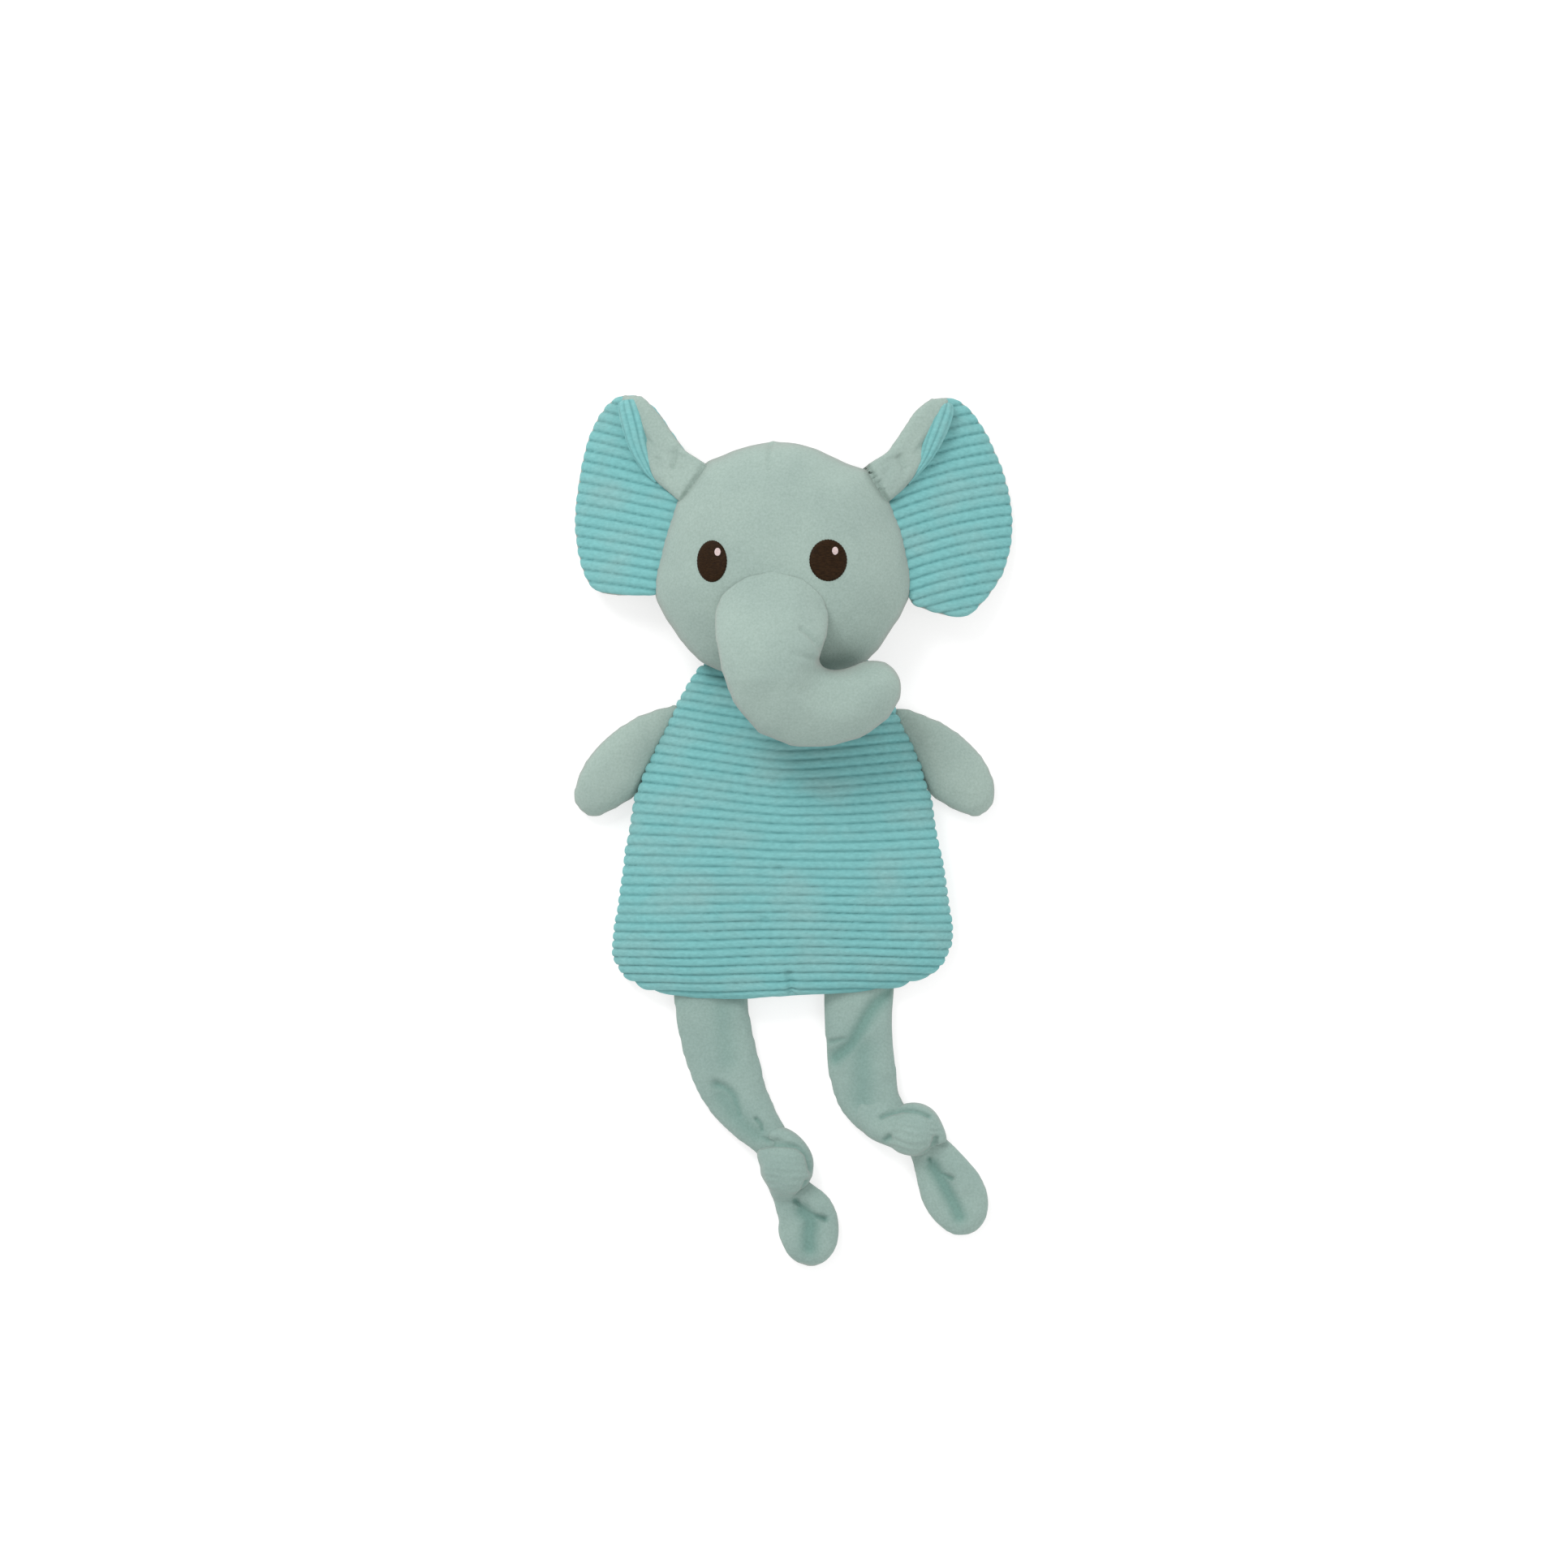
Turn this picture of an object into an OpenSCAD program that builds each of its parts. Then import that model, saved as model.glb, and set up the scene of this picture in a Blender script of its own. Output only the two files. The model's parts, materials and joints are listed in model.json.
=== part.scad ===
// Stuffed elephant lying on its back: flat corduroy body, plush head and trunk, folded ears,
// flap arms and long unstuffed legs that are each tied in a knot above a petal-shaped foot.
// Millimetres. +X is the right-hand side as seen from above, +Y points to the top of the head
// and +Z up out of the belly. The origin is on the surface that the toy lies on, under the
// middle of the torso. Left and right are as seen from above.

/* [Fabric] */
// Thickness of a panel that is sewn over stuffing
panel_t = 1.6; // [1:0.1:2]
// Thickness of one layer of an unstuffed leg or foot, with its pile and slack
layer_t = 4.5; // [3:0.25:5]
// Thickness of one layer of an ear
ear_layer_t = 2.6; // [2:0.1:3]
// Space between a panel and the stuffing behind it
fill_gap = 0.25; // [0.2:0.05:0.5]
// Space left where two bodies meet at a seam that bends
joint_gap = 0.7; // [0.6:0.1:1]

/* [Torso and arms] */
// Height of the belly
torso_h = 22; // [16:1:23]
// Height of the torso's side seam
torso_seam_z = 5; // [4:0.5:7]
// Height of an arm
arm_h = 12; // [9:0.5:13]
// Height of an arm's seam
arm_seam_z = 5; // [4:0.5:6]

/* [Head] */
// Height of the face
head_h = 46; // [40:1:48]
// Height of the head's side seam
head_seam_z = 18; // [15:1:20]
// Width of the left eye
eye_left_w = 11.8; // [10:0.2:14]
// Width of the right eye
eye_right_w = 14.8; // [12:0.2:16]
// Length of both eyes
eye_len = 16.4; // [14:0.2:18]
// Thickness of the embroidered thread
thread_t = 0.9; // [0.6:0.1:1.2]

/* [Ears] */
// Height of an ear's upper side where it leaves the head
ear_root_z = 20; // [17:1:22]
// Thickness of the edge that is folded forward over the ear
ear_fold_t = 3.6; // [3:0.2:4.4]

/* [Knots] */
// Radius of a knot seen from above
knot_r = 11.5; // [10:0.5:12]
// Height of a knot
knot_h = 20; // [16:1:22]

/* [Hidden] */

plush = [0.40, 0.52, 0.48];
plush_back = [0.36, 0.47, 0.44];
corduroy = [0.22, 0.47, 0.48];
fibre = [0.86, 0.86, 0.84];
eye_thread = [0.06, 0.035, 0.025];
glint_thread = [0.80, 0.62, 0.60];

// Shares of the way from a padded piece's middle to its seam at which it has a ring
shares = [0.25, 0.45, 0.62, 0.76, 0.88, 0.96, 1];
slim_shares = [0.35, 0.65, 0.88, 1];

// The neck: head and torso meet along an arc about the point that the head tilts about
neck = [0, 82];
neck_r = 36.6;
head_neck_angle = 27;
torso_neck_angle = 45;
neck_steps = 8;

head_middle = [0, 104];
torso_middle = [0, -12];

// Right half of the head's outline, from the neck up to the crown, then the left half down
head_points = [
  [40, 73], [46, 84], [50, 94], [49, 107], [46, 120], [41, 133], [32, 145], [17, 151.5],
  [0, 154],
  [-17, 151.5], [-31, 146], [-41, 134], [-46, 119], [-49, 107], [-51, 93], [-45, 81], [-38, 71.5]
];
// The torso's outline from the left shoulder down, along the hem and up to the right shoulder
torso_points = [
  [-41, 51], [-50, 33], [-58, 14], [-62, -6], [-67, -42], [-66, -53], [-58, -61], [-44, -65],
  [-20, -66], [3, -65], [25, -64],
  [44, -62], [58, -57], [66, -47], [65.5, -28], [60, 2], [58, 14], [50, 35], [42, 50]
];

// An arm's outline, anticlockwise from one end of its seam round its tip to the other end
arm_left_points = [[-43.5, 50], [-57, 44.5], [-69, 36.5], [-78, 26], [-82.5, 14], [-79, 6.5], [-71, 6.5], [-61.5, 12]];
arm_right_points = [[61.5, 12], [71, 6.5], [80, 6.5], [83.5, 15], [79, 27], [69, 37.5], [58, 44], [44.5, 49]];
arm_left_middle = [-67, 24];
arm_right_middle = [67, 24];

// An ear's outline, anticlockwise from one end of its seam round its free edge to the other end
ear_left_points = [
  [-38, 147], [-48, 163.5], [-55, 170], [-62, 172], [-69.5, 168.5], [-77, 155], [-82, 130],
  [-81.5, 112], [-76.5, 96.5], [-68, 92.5], [-57.5, 90.5]
];
ear_right_points = [
  [58, 86.5], [68, 83.2], [76, 86.5], [87, 101.5], [90.5, 122], [86.5, 143],
  [75, 165], [65, 171], [57, 169], [51, 163.5], [41.5, 147]
];
ear_left_middle = [-62, 125];
ear_right_middle = [66, 125];
// The folded edge's outline, anticlockwise between its own free edge and the ear's upper edge
fold_left_points = [[-38.5, 146], [-48, 162], [-56, 168.5], [-66, 169.5], [-62.5, 157], [-53, 141], [-43.5, 131.5]];
fold_right_points = [[44.5, 131], [55, 141], [63, 152.5], [68.5, 164.5], [58, 168], [51, 162], [42, 146]];
fold_left_middle = [-51, 153];
fold_right_middle = [54.5, 153];

// A leg's or foot's middle line, each point with half its width there
leg_left_line = [
  [-29, -68, 15], [-27, -80, 14.5], [-24, -92, 13.3], [-19.5, -103, 11.5], [-13, -112.5, 8.8], [-7, -119.6, 7]
];
leg_right_line = [
  [30, -66, 15], [30, -80, 13.4], [30.8, -93, 12.6], [32, -101.5, 10.8], [34.4, -108.5, 8.4], [38, -112.3, 6.4]
];
foot_left_line = [
  [3, -143.2, 5], [5.5, -148, 9.2], [8.5, -155, 12], [10.3, -162, 11.4], [11.2, -168, 8], [11.6, -172, 3.4]
];
foot_right_line = [
  [57.8, -128.2, 5.2], [60.5, -133, 9.2], [64.3, -140, 12], [68.4, -147.5, 11.2], [72.3, -154.7, 7.6], [74.4, -158.6, 3.2]
];
knot_left_at = [0.6, -130.2];
knot_right_at = [50.9, -117.4];
line_steps = 2;
half_section_steps = 3;

// The trunk in rows from its root to its tip: left edge, right edge, underside and upper side
trunk_rows = [
  [[-6, 101.6], [-3, 101.6], 0.9, 2.4],
  [[-16, 99], [7, 99], 0.8, 12],
  [[-25.5, 92], [16, 92], 0.4, 19],
  [[-27.8, 84], [18, 84], -0.4, 22],
  [[-26.5, 72], [17, 75], -2.2, 21.5],
  [[-24.5, 62], [15.6, 70], -4.6, 19],
  [[-19.5, 49], [15.2, 67.5], -8.6, 15.5],
  [[-10, 38], [15.8, 65.6], -12, 12],
  [[4, 32.5], [17.6, 64.2], -15.2, 9],
  [[18, 32.5], [21.8, 63.5], -17.8, 6.5],
  [[31, 36], [28, 64.5], -19.5, 4.5],
  [[41, 43], [34.5, 67], -20, 2],
  [[46, 51], [41, 65], -18.5, -1.5],
  [[47, 56], [45.5, 61], -14, -7]
];
trunk_row_last = len(trunk_rows) - 1;
trunk_sides = 8;

eye_left_at = [-28, 105.4];
eye_right_at = [17.5, 105.7];
glint_left_at = [-25.8, 109];
glint_right_at = [20.2, 109.4];
glint_size = [3, 3.9];
glint_t = 0.4;
pad_clear = 0.1;

// ---- curves ----

function between(a, b, t) = a + (b - a) * t;

// A point of the smooth curve through b and c, with a before them and d after
function bend(a, b, c, d, t) =
  b + (c - a) * (t / 2) + (2 * a - 5 * b + 4 * c - d) * (t * t / 2) + (3 * b - a - 3 * c + d) * (t * t * t / 2);

// Smooth open curve through the points, with steps parts from each point to the next
function curve(points, steps) =
  let (last = len(points) - 1)
  concat(
    [
      for (i = [0:last - 1], k = [0:steps - 1])
        bend(points[max(i - 1, 0)], points[i], points[i + 1], points[min(i + 2, last)], k / steps)
    ],
    [points[last]]
  );

function neck_arc(radius, from, to) =
  [for (k = [0:neck_steps]) neck + radius * [cos(between(from, to, k / neck_steps)), sin(between(from, to, k / neck_steps))]];

head_outline = concat(
  neck_arc(neck_r, -180 + head_neck_angle, -head_neck_angle),
  curve(head_points, 2)
);
torso_outline = concat(
  curve(torso_points, 2),
  neck_arc(neck_r + joint_gap, -torso_neck_angle, -180 + torso_neck_angle)
);

// ---- padded pieces ----

// How high stuffing stands at a share s of the way from its middle to its seam
function swell(s) = pow(1 - pow(s, 2.4), 0.6);

function ring(outline, middle, s, z) = [for (p = outline) concat(middle + (p - middle) * s, z)];

function mean(list) = list * [for (v = list) 1] / len(list);
function mean_reach(outline, middle) = mean([for (p = outline) norm(p - middle)]);
function shrunk(outline, middle, inset) =
  let (s = 1 - inset / mean_reach(outline, middle))
  [for (p = outline) middle + (p - middle) * s];

// Rings of half a padded piece from its middle out to its seam, no lower than low
function half(outline, middle, seam_z, rise, low, steps) =
  [for (s = steps) ring(outline, middle, s, max(low, seam_z + rise * swell(s)))];

function turned(list) = [for (i = [len(list) - 1:-1:0]) list[i]];

// Closed solid through rings of points, each anticlockwise seen from above, with flat ends
module stack(rings) {
  n = len(rings[0]);
  last = len(rings) - 1;
  points = [for (r = rings, p = r) p];
  sides = [
    for (k = [0:last - 1], i = [0:n - 1])
      let (a = k * n + i, b = k * n + (i + 1) % n)
      each [[a, b + n, b], [a, a + n, b + n]]
  ];
  low_end = [for (i = [0:n - 1]) i];
  high_end = [for (i = [n - 1:-1:0]) last * n + i];
  polyhedron(points, concat(sides, [low_end, high_end]));
}

module front_panel(outline, middle, seam_z, top_z, steps) {
  inner = shrunk(outline, middle, panel_t);
  stack(concat(
    half(inner, middle, seam_z, top_z - panel_t - seam_z, seam_z, steps),
    turned(half(outline, middle, seam_z, top_z - seam_z, seam_z, steps))
  ));
}

// The back bulges below its seam and is flat where it rests
back_bulge = 1.35;
module back_panel(outline, middle, seam_z, steps) {
  inner = shrunk(outline, middle, panel_t);
  stack(concat(
    half(outline, middle, seam_z, -seam_z * back_bulge, 0, steps),
    turned(half(inner, middle, seam_z, -(seam_z - panel_t) * back_bulge, panel_t, steps))
  ));
}

module stuffing(outline, middle, seam_z, top_z, steps) {
  inset = panel_t + fill_gap;
  inner = shrunk(outline, middle, inset);
  stack(concat(
    half(inner, middle, seam_z, -(seam_z - inset) * back_bulge, inset, steps),
    turned(half(inner, middle, seam_z, top_z - inset - seam_z, seam_z, [for (s = steps) if (s < 1) s]))
  ));
}

// ---- torso ----

module torso_front() { color(corduroy) front_panel(torso_outline, torso_middle, torso_seam_z, torso_h, shares); }
module torso_back() { color(plush_back) back_panel(torso_outline, torso_middle, torso_seam_z, slim_shares); }
module torso_stuffing() { color(fibre) stuffing(torso_outline, torso_middle, torso_seam_z, torso_h, slim_shares); }

// ---- head ----

module head_front() { color(plush) front_panel(head_outline, head_middle, head_seam_z, head_h, shares); }
module head_back() { color(plush_back) back_panel(head_outline, head_middle, head_seam_z, shares); }
module head_stuffing() { color(fibre) stuffing(head_outline, head_middle, head_seam_z, head_h, shares); }

function cross2(a, b) = a.x * b.y - a.y * b.x;

// How far the outline is from its middle in the direction of p, as a multiple of p's own distance
function edge_multiple(outline, middle, p) =
  let (n = len(outline), d = p - middle)
  max([
    for (i = [0:n - 1])
      let (
        a = outline[i] - middle,
        e = outline[(i + 1) % n] - outline[i],
        across = cross2(d, e),
        t = cross2(a, e) / across,
        u = cross2(a, d) / across
      )
      if (abs(across) > 0 && t > 0 && u >= 0 && u <= 1) t
  ]);

function face_z(p) = head_seam_z + (head_h - head_seam_z) * swell(1 / edge_multiple(head_outline, head_middle, p));

function face_slope(p) =
  [face_z(p + [1, 0]) - face_z(p - [1, 0]), face_z(p + [0, 1]) - face_z(p - [0, 1])] / 2;

// Oval pad of thread on the plane that touches the face at base, from low to high above it
pad_sides = 20;
pad_round = 0.8;
module face_pad(at, size, base, low, high) {
  slope = face_slope(base);
  stack([
    for (layer = [[1, low], [1, between(low, high, 0.6)], [pad_round, high]])
      [
        for (i = [0:pad_sides - 1])
          let (p = at + layer[0] * [size.x * cos(360 * i / pad_sides), size.y * sin(360 * i / pad_sides)] / 2)
          concat(p, face_z(base) + slope * (p - base) + layer[1])
      ]
  ]);
}
eye_top = pad_clear + thread_t;

module eye_left() {
  color(eye_thread) face_pad(eye_left_at, [eye_left_w, eye_len], eye_left_at, pad_clear, eye_top);
}
module eye_right() {
  color(eye_thread) face_pad(eye_right_at, [eye_right_w, eye_len], eye_right_at, pad_clear, eye_top);
}
module eye_left_glint() {
  color(glint_thread) face_pad(glint_left_at, glint_size, eye_left_at, eye_top, eye_top + glint_t);
}
module eye_right_glint() {
  color(glint_thread) face_pad(glint_right_at, glint_size, eye_right_at, eye_top, eye_top + glint_t);
}

// ---- slabs between two grids of points ----

// Closed solid between a low and a high grid, rows by columns, columns to the left of the rows
module slab(low, high) {
  rows = len(low);
  cols = len(low[0]);
  points = concat([for (r = low, p = r) p], [for (r = high, p = r) p]);
  top = rows * cols;
  quads = concat(
    [
      for (r = [0:rows - 2], c = [0:cols - 2])
        let (k = r * cols + c)
        each [
          [top + k, top + k + cols, top + k + cols + 1, top + k + 1],
          [k, k + 1, k + cols + 1, k + cols]
        ]
    ],
    [
      for (r = [0:rows - 2])
        let (k = r * cols, e = k + cols - 1)
        each [[k, k + cols, top + k + cols, top + k], [e + cols, e, top + e, top + e + cols]]
    ],
    [
      for (c = [0:cols - 2])
        let (e = top - cols + c)
        each [[c + 1, c, top + c, top + c + 1], [e, e + 1, top + e + 1, top + e]]
    ]
  );
  polyhedron(points, [for (q = quads) each [[q[0], q[2], q[1]], [q[0], q[3], q[2]]]]);
}

// ---- trunk ----

trunk_base_z = head_h;

// The trunk's row at u, which counts rows from the root
function trunk_row(u) =
  let (
    i = min(floor(u), trunk_row_last - 1),
    a = trunk_rows[i],
    b = trunk_rows[i + 1]
  )
  [for (k = [0:3]) between(a[k], b[k], u - i)];

// Points round one row at the given angles, inset from the trunk's surface; 0 is its left edge
function trunk_section(u, angles, inset) =
  let (
    row = trunk_row(u),
    middle = (row[0] + row[1]) / 2,
    side = (row[0] - row[1]) / 2,
    width_share = 1 - inset / norm(side),
    seam = trunk_base_z + (row[2] + row[3]) / 2,
    rise = (row[3] - row[2]) / 2 - inset
  )
  [for (a = angles) concat(middle + side * width_share * cos(a), seam + rise * sin(a))];

// All rows, with the first moved start rows in from the root and the last as far from the tip
function trunk_grid(angles, start, inset) =
  [for (i = [0:trunk_row_last]) trunk_section(max(start, min(i, trunk_row_last - start)), angles, inset)];

inner_start = 0.7;
fill_start = 0.85;
over = [for (k = [0:trunk_sides]) 180 * k / trunk_sides];
under = [for (a = over) -a];
all_round = [for (k = [0:2 * trunk_sides - 1]) -180 * k / trunk_sides];

module trunk_front() {
  color(plush) slab(trunk_grid(over, inner_start, panel_t), trunk_grid(over, 0, 0));
}
module trunk_back() {
  color(plush_back) slab(trunk_grid(under, 0, 0), trunk_grid(under, inner_start, panel_t));
}
module trunk_stuffing() {
  color(fibre) stack(trunk_grid(all_round, fill_start, panel_t + 3 * fill_gap));
}

// ---- ears ----

ear_left_outline = curve(ear_left_points, 2);
ear_right_outline = curve(ear_right_points, 2);

// How far p is from the straight seam between the outline's ends
function beyond(outline, p) =
  let (a = outline[0], seam = outline[len(outline) - 1] - a)
  abs(cross2(seam, p - a)) / norm(seam);

// Layer of an ear, whose underside slopes down from its seam to the surface under its tip.
// bands gives its rings: share of the outline, and height above the ear's underside
module ear_layer(ear, outline, middle, bands) {
  reach = max([for (p = ear) beyond(ear, p)]);
  drop = ear_root_z - 2 * ear_layer_t;
  stack([
    for (band = bands)
      [
        for (p = outline)
          let (q = middle + (p - middle) * band[0])
          concat(q, drop * (1 - beyond(ear, q) / reach) + band[1])
      ]
  ]);
}
soft_edge = 0.965;
back_bands = [[soft_edge, 0], [1, ear_layer_t / 2], [1, ear_layer_t]];
front_bands = [[1, ear_layer_t], [1, ear_layer_t * 1.5], [soft_edge, ear_layer_t * 2]];
fold_bands = [
  [0.9, ear_layer_t * 2], [1, ear_layer_t * 2 + ear_fold_t * 0.4],
  [1, ear_layer_t * 2 + ear_fold_t * 0.6], [0.85, ear_layer_t * 2 + ear_fold_t]
];

module ear_left_front() { color(corduroy) ear_layer(ear_left_outline, ear_left_outline, ear_left_middle, front_bands); }
module ear_left_back() { color(plush_back) ear_layer(ear_left_outline, ear_left_outline, ear_left_middle, back_bands); }
module ear_left_fold() {
  color(plush) ear_layer(ear_left_outline, curve(fold_left_points, 2), fold_left_middle, fold_bands);
}
module ear_right_front() { color(corduroy) ear_layer(ear_right_outline, ear_right_outline, ear_right_middle, front_bands); }
module ear_right_back() { color(plush_back) ear_layer(ear_right_outline, ear_right_outline, ear_right_middle, back_bands); }
module ear_right_fold() {
  color(plush) ear_layer(ear_right_outline, curve(fold_right_points, 2), fold_right_middle, fold_bands);
}

// ---- arms ----

arm_left_outline = curve(arm_left_points, 2);
arm_right_outline = curve(arm_right_points, 2);

module arm_left_front() { color(plush) front_panel(arm_left_outline, arm_left_middle, arm_seam_z, arm_h, slim_shares); }
module arm_left_back() { color(plush_back) back_panel(arm_left_outline, arm_left_middle, arm_seam_z, slim_shares); }
module arm_left_stuffing() { color(fibre) stuffing(arm_left_outline, arm_left_middle, arm_seam_z, arm_h, slim_shares); }
module arm_right_front() { color(plush) front_panel(arm_right_outline, arm_right_middle, arm_seam_z, arm_h, slim_shares); }
module arm_right_back() { color(plush_back) back_panel(arm_right_outline, arm_right_middle, arm_seam_z, slim_shares); }
module arm_right_stuffing() { color(fibre) stuffing(arm_right_outline, arm_right_middle, arm_seam_z, arm_h, slim_shares); }

// ---- legs and feet: two layers each, with nothing between them ----

edge_t = 1;
crown = 1.25;
columns = [for (k = [0:2 * half_section_steps]) -cos(90 * k / half_section_steps)];
function layer_rise(c) = min(layer_t, edge_t + (layer_t - edge_t) * crown * sqrt(1 - c * c));

// Grid over a leg or foot: side is 0 between its layers, 1 on its front and -1 on its back
function limb_grid(line, side) =
  let (p = curve(line, line_steps), last = len(p) - 1)
  [
    for (i = [0:last])
      let (
        step = p[min(i + 1, last)] - p[max(i - 1, 0)],
        left = [-step.y, step.x] / norm([step.x, step.y])
      )
      [for (c = columns) concat([p[i].x, p[i].y] + left * (p[i].z * c), layer_t + side * layer_rise(c))]
  ];

module limb_front(line) { color(plush) slab(limb_grid(line, 0), limb_grid(line, 1)); }
module limb_back(line) { color(plush_back) slab(limb_grid(line, -1), limb_grid(line, 0)); }

module leg_left_front() { limb_front(leg_left_line); }
module leg_left_back() { limb_back(leg_left_line); }
module leg_right_front() { limb_front(leg_right_line); }
module leg_right_back() { limb_back(leg_right_line); }
module foot_left_front() { limb_front(foot_left_line); }
module foot_left_back() { limb_back(foot_left_line); }
module foot_right_front() { limb_front(foot_right_line); }
module foot_right_back() { limb_back(foot_right_line); }

// ---- knots ----

// A knot's profile as shares of its radius and height
knot_profile = [[0, 0], [0.5, 0], [0.86, 0.12], [1, 0.4], [0.94, 0.68], [0.7, 0.9], [0.38, 1], [0, 1]];
module knot(at) {
  color(plush) translate(at) rotate_extrude($fn = 48) polygon([for (p = knot_profile) [p.x * knot_r, p.y * knot_h]]);
}
module knot_left() { knot(knot_left_at); }
module knot_right() { knot(knot_right_at); }

torso_front();
torso_back();
torso_stuffing();
head_front();
head_back();
head_stuffing();
eye_left();
eye_right();
eye_left_glint();
eye_right_glint();
trunk_front();
trunk_back();
trunk_stuffing();
ear_left_front();
ear_left_back();
ear_left_fold();
ear_right_front();
ear_right_back();
ear_right_fold();
arm_left_front();
arm_left_back();
arm_left_stuffing();
arm_right_front();
arm_right_back();
arm_right_stuffing();
leg_left_front();
leg_left_back();
knot_left();
foot_left_front();
foot_left_back();
leg_right_front();
leg_right_back();
knot_right();
foot_right_front();
foot_right_back();
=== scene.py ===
import json
import math

import bmesh
import bpy
import numpy as np
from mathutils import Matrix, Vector, noise
from mathutils.bvhtree import BVHTree


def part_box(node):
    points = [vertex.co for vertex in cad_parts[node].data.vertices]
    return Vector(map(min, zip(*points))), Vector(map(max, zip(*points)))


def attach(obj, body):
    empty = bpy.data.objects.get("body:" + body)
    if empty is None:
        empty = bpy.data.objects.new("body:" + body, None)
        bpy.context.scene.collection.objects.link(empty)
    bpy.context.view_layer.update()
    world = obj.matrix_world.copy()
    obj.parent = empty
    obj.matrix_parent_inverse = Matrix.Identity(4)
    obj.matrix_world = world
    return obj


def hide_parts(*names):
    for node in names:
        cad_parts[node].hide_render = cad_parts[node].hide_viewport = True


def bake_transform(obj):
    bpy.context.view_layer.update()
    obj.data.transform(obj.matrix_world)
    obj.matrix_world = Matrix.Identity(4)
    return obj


# Stuffed elephant lying on its back, seen from straight above. Lengths are in millimetres
# until make() and set_points() turn them into metres.
MM = 0.001
SCENE = bpy.context.scene


# ---- meshes ----


def make(name, points, faces):
    mesh = bpy.data.meshes.new(name)
    mesh.from_pydata((np.asarray(points) * MM).tolist(), [], faces)
    obj = bpy.data.objects.new(name, mesh)
    SCENE.collection.objects.link(obj)
    return obj


def read(obj, collection, field):
    items = getattr(obj.data, collection)
    values = np.zeros(len(items) * 3, np.float32)
    items.foreach_get(field, values)
    return values.reshape(-1, 3).astype(float)


def points_of(obj):
    return read(obj, "vertices", "co") / MM


def normals_of(obj):
    return read(obj, "vertices", "normal")


def set_points(obj, points):
    obj.data.vertices.foreach_set("co", (points * MM).astype(np.float32).ravel())
    obj.data.update()


def edges_of(obj):
    """Every edge as seen from above, as pairs of points."""
    pairs = np.zeros(len(obj.data.edges) * 2, np.int32)
    obj.data.edges.foreach_get("vertices", pairs)
    return points_of(obj)[:, :2][pairs.reshape(-1, 2)]


def walls(rows, sides):
    """Faces between rows of points, where each row is a ring of as many points as sides."""
    faces = []
    for row in range(rows - 1):
        for i in range(sides):
            a, b = row * sides + i, row * sides + (i + 1) % sides
            faces.append([a, b, b + sides, a + sides])
    return faces


def turned(faces):
    """The same faces, seen from their other side."""
    return [face[:1] + face[:0:-1] for face in faces]


def closed_tube(rows, sides):
    """Faces of a tube of rings with a cap at both ends."""
    last = (rows - 1) * sides
    return walls(rows, sides) + [list(range(sides))[::-1], [last + i for i in range(sides)]]


def bake(obj):
    """Applies the object's modifiers."""
    graph = bpy.context.evaluated_depsgraph_get()
    mesh = bpy.data.meshes.new_from_object(obj.evaluated_get(graph))
    obj.modifiers.clear()
    obj.data = mesh
    return obj


def joined_copy(name, nodes):
    """One new object with the surfaces of several CAD nodes."""
    points, faces = [], []
    for node in nodes:
        source = frame["nodes"][node]
        start = sum(len(p) for p in points)
        points.append(points_of(source))
        faces += [[start + v for v in face.vertices] for face in source.data.polygons]
    return make(name, np.concatenate(points), faces)


def remesh(obj, voxel, smoothing):
    """Even, softened mesh over a closed shape, with edges of about voxel millimetres."""
    remesher = obj.modifiers.new("Even", "REMESH")
    remesher.mode = "VOXEL"
    remesher.voxel_size = voxel * MM
    smoother = obj.modifiers.new("Soft", "SMOOTH")
    smoother.factor = 0.5
    smoother.iterations = smoothing
    return bake(obj)


def subdivide(obj, levels):
    modifier = obj.modifiers.new("Fine", "SUBSURF")
    modifier.levels = levels
    return bake(obj)


# Frames of cloth simulation that fill a skin, and the pressure in it
SIM_FRAMES = 20
PRESSURE = 4


def inflate(obj, cap):
    """Fills a closed cloth skin with pressure. No point moves further than cap."""
    before = points_of(obj)
    cloth = obj.modifiers.new("Fill", "CLOTH")
    cloth.settings.use_pressure = True
    cloth.settings.uniform_pressure_force = PRESSURE
    cloth.settings.effector_weights.gravity = 0
    cloth.point_cache.frame_end = SIM_FRAMES
    for step in range(1, SIM_FRAMES + 1):
        SCENE.frame_set(step)
    bake(obj)
    SCENE.frame_set(1)
    move = points_of(obj) - before
    length = np.linalg.norm(move, axis=1, keepdims=True)
    set_points(obj, before + move * np.minimum(1, cap / np.maximum(length, 1e-6)))
    return obj


# ---- shapes ----


def smoothstep(value, low, high):
    t = np.clip((value - low) / (high - low), 0, 1)
    return t * t * (3 - 2 * t)


# Directions in which the outline of a cushion is measured
ANGLES = np.radians(np.arange(0, 360, 1.5))


def reach(segments, middle):
    """How far from middle the farthest segment lies in each direction, or 0 where none does."""
    start = segments[:, 0] - middle
    along = segments[:, 1] - segments[:, 0]
    ray = np.stack([np.cos(ANGLES), np.sin(ANGLES)], 1)[:, None]
    across = ray[..., 0] * along[:, 1] - ray[..., 1] * along[:, 0]
    across = np.where(np.abs(across) < 1e-9, 1e-9, across)
    t = (start[:, 0] * along[:, 1] - start[:, 1] * along[:, 0]) / across
    u = (start[:, 0] * ray[..., 1] - start[:, 1] * ray[..., 0]) / across
    return np.where((t > 0) & (u >= 0) & (u <= 1), t, 0).max(1)


def chain(points):
    """The segments that join a row of points."""
    points = np.array(points, float)
    return np.stack([points[:-1], points[1:]], 1)


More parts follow.
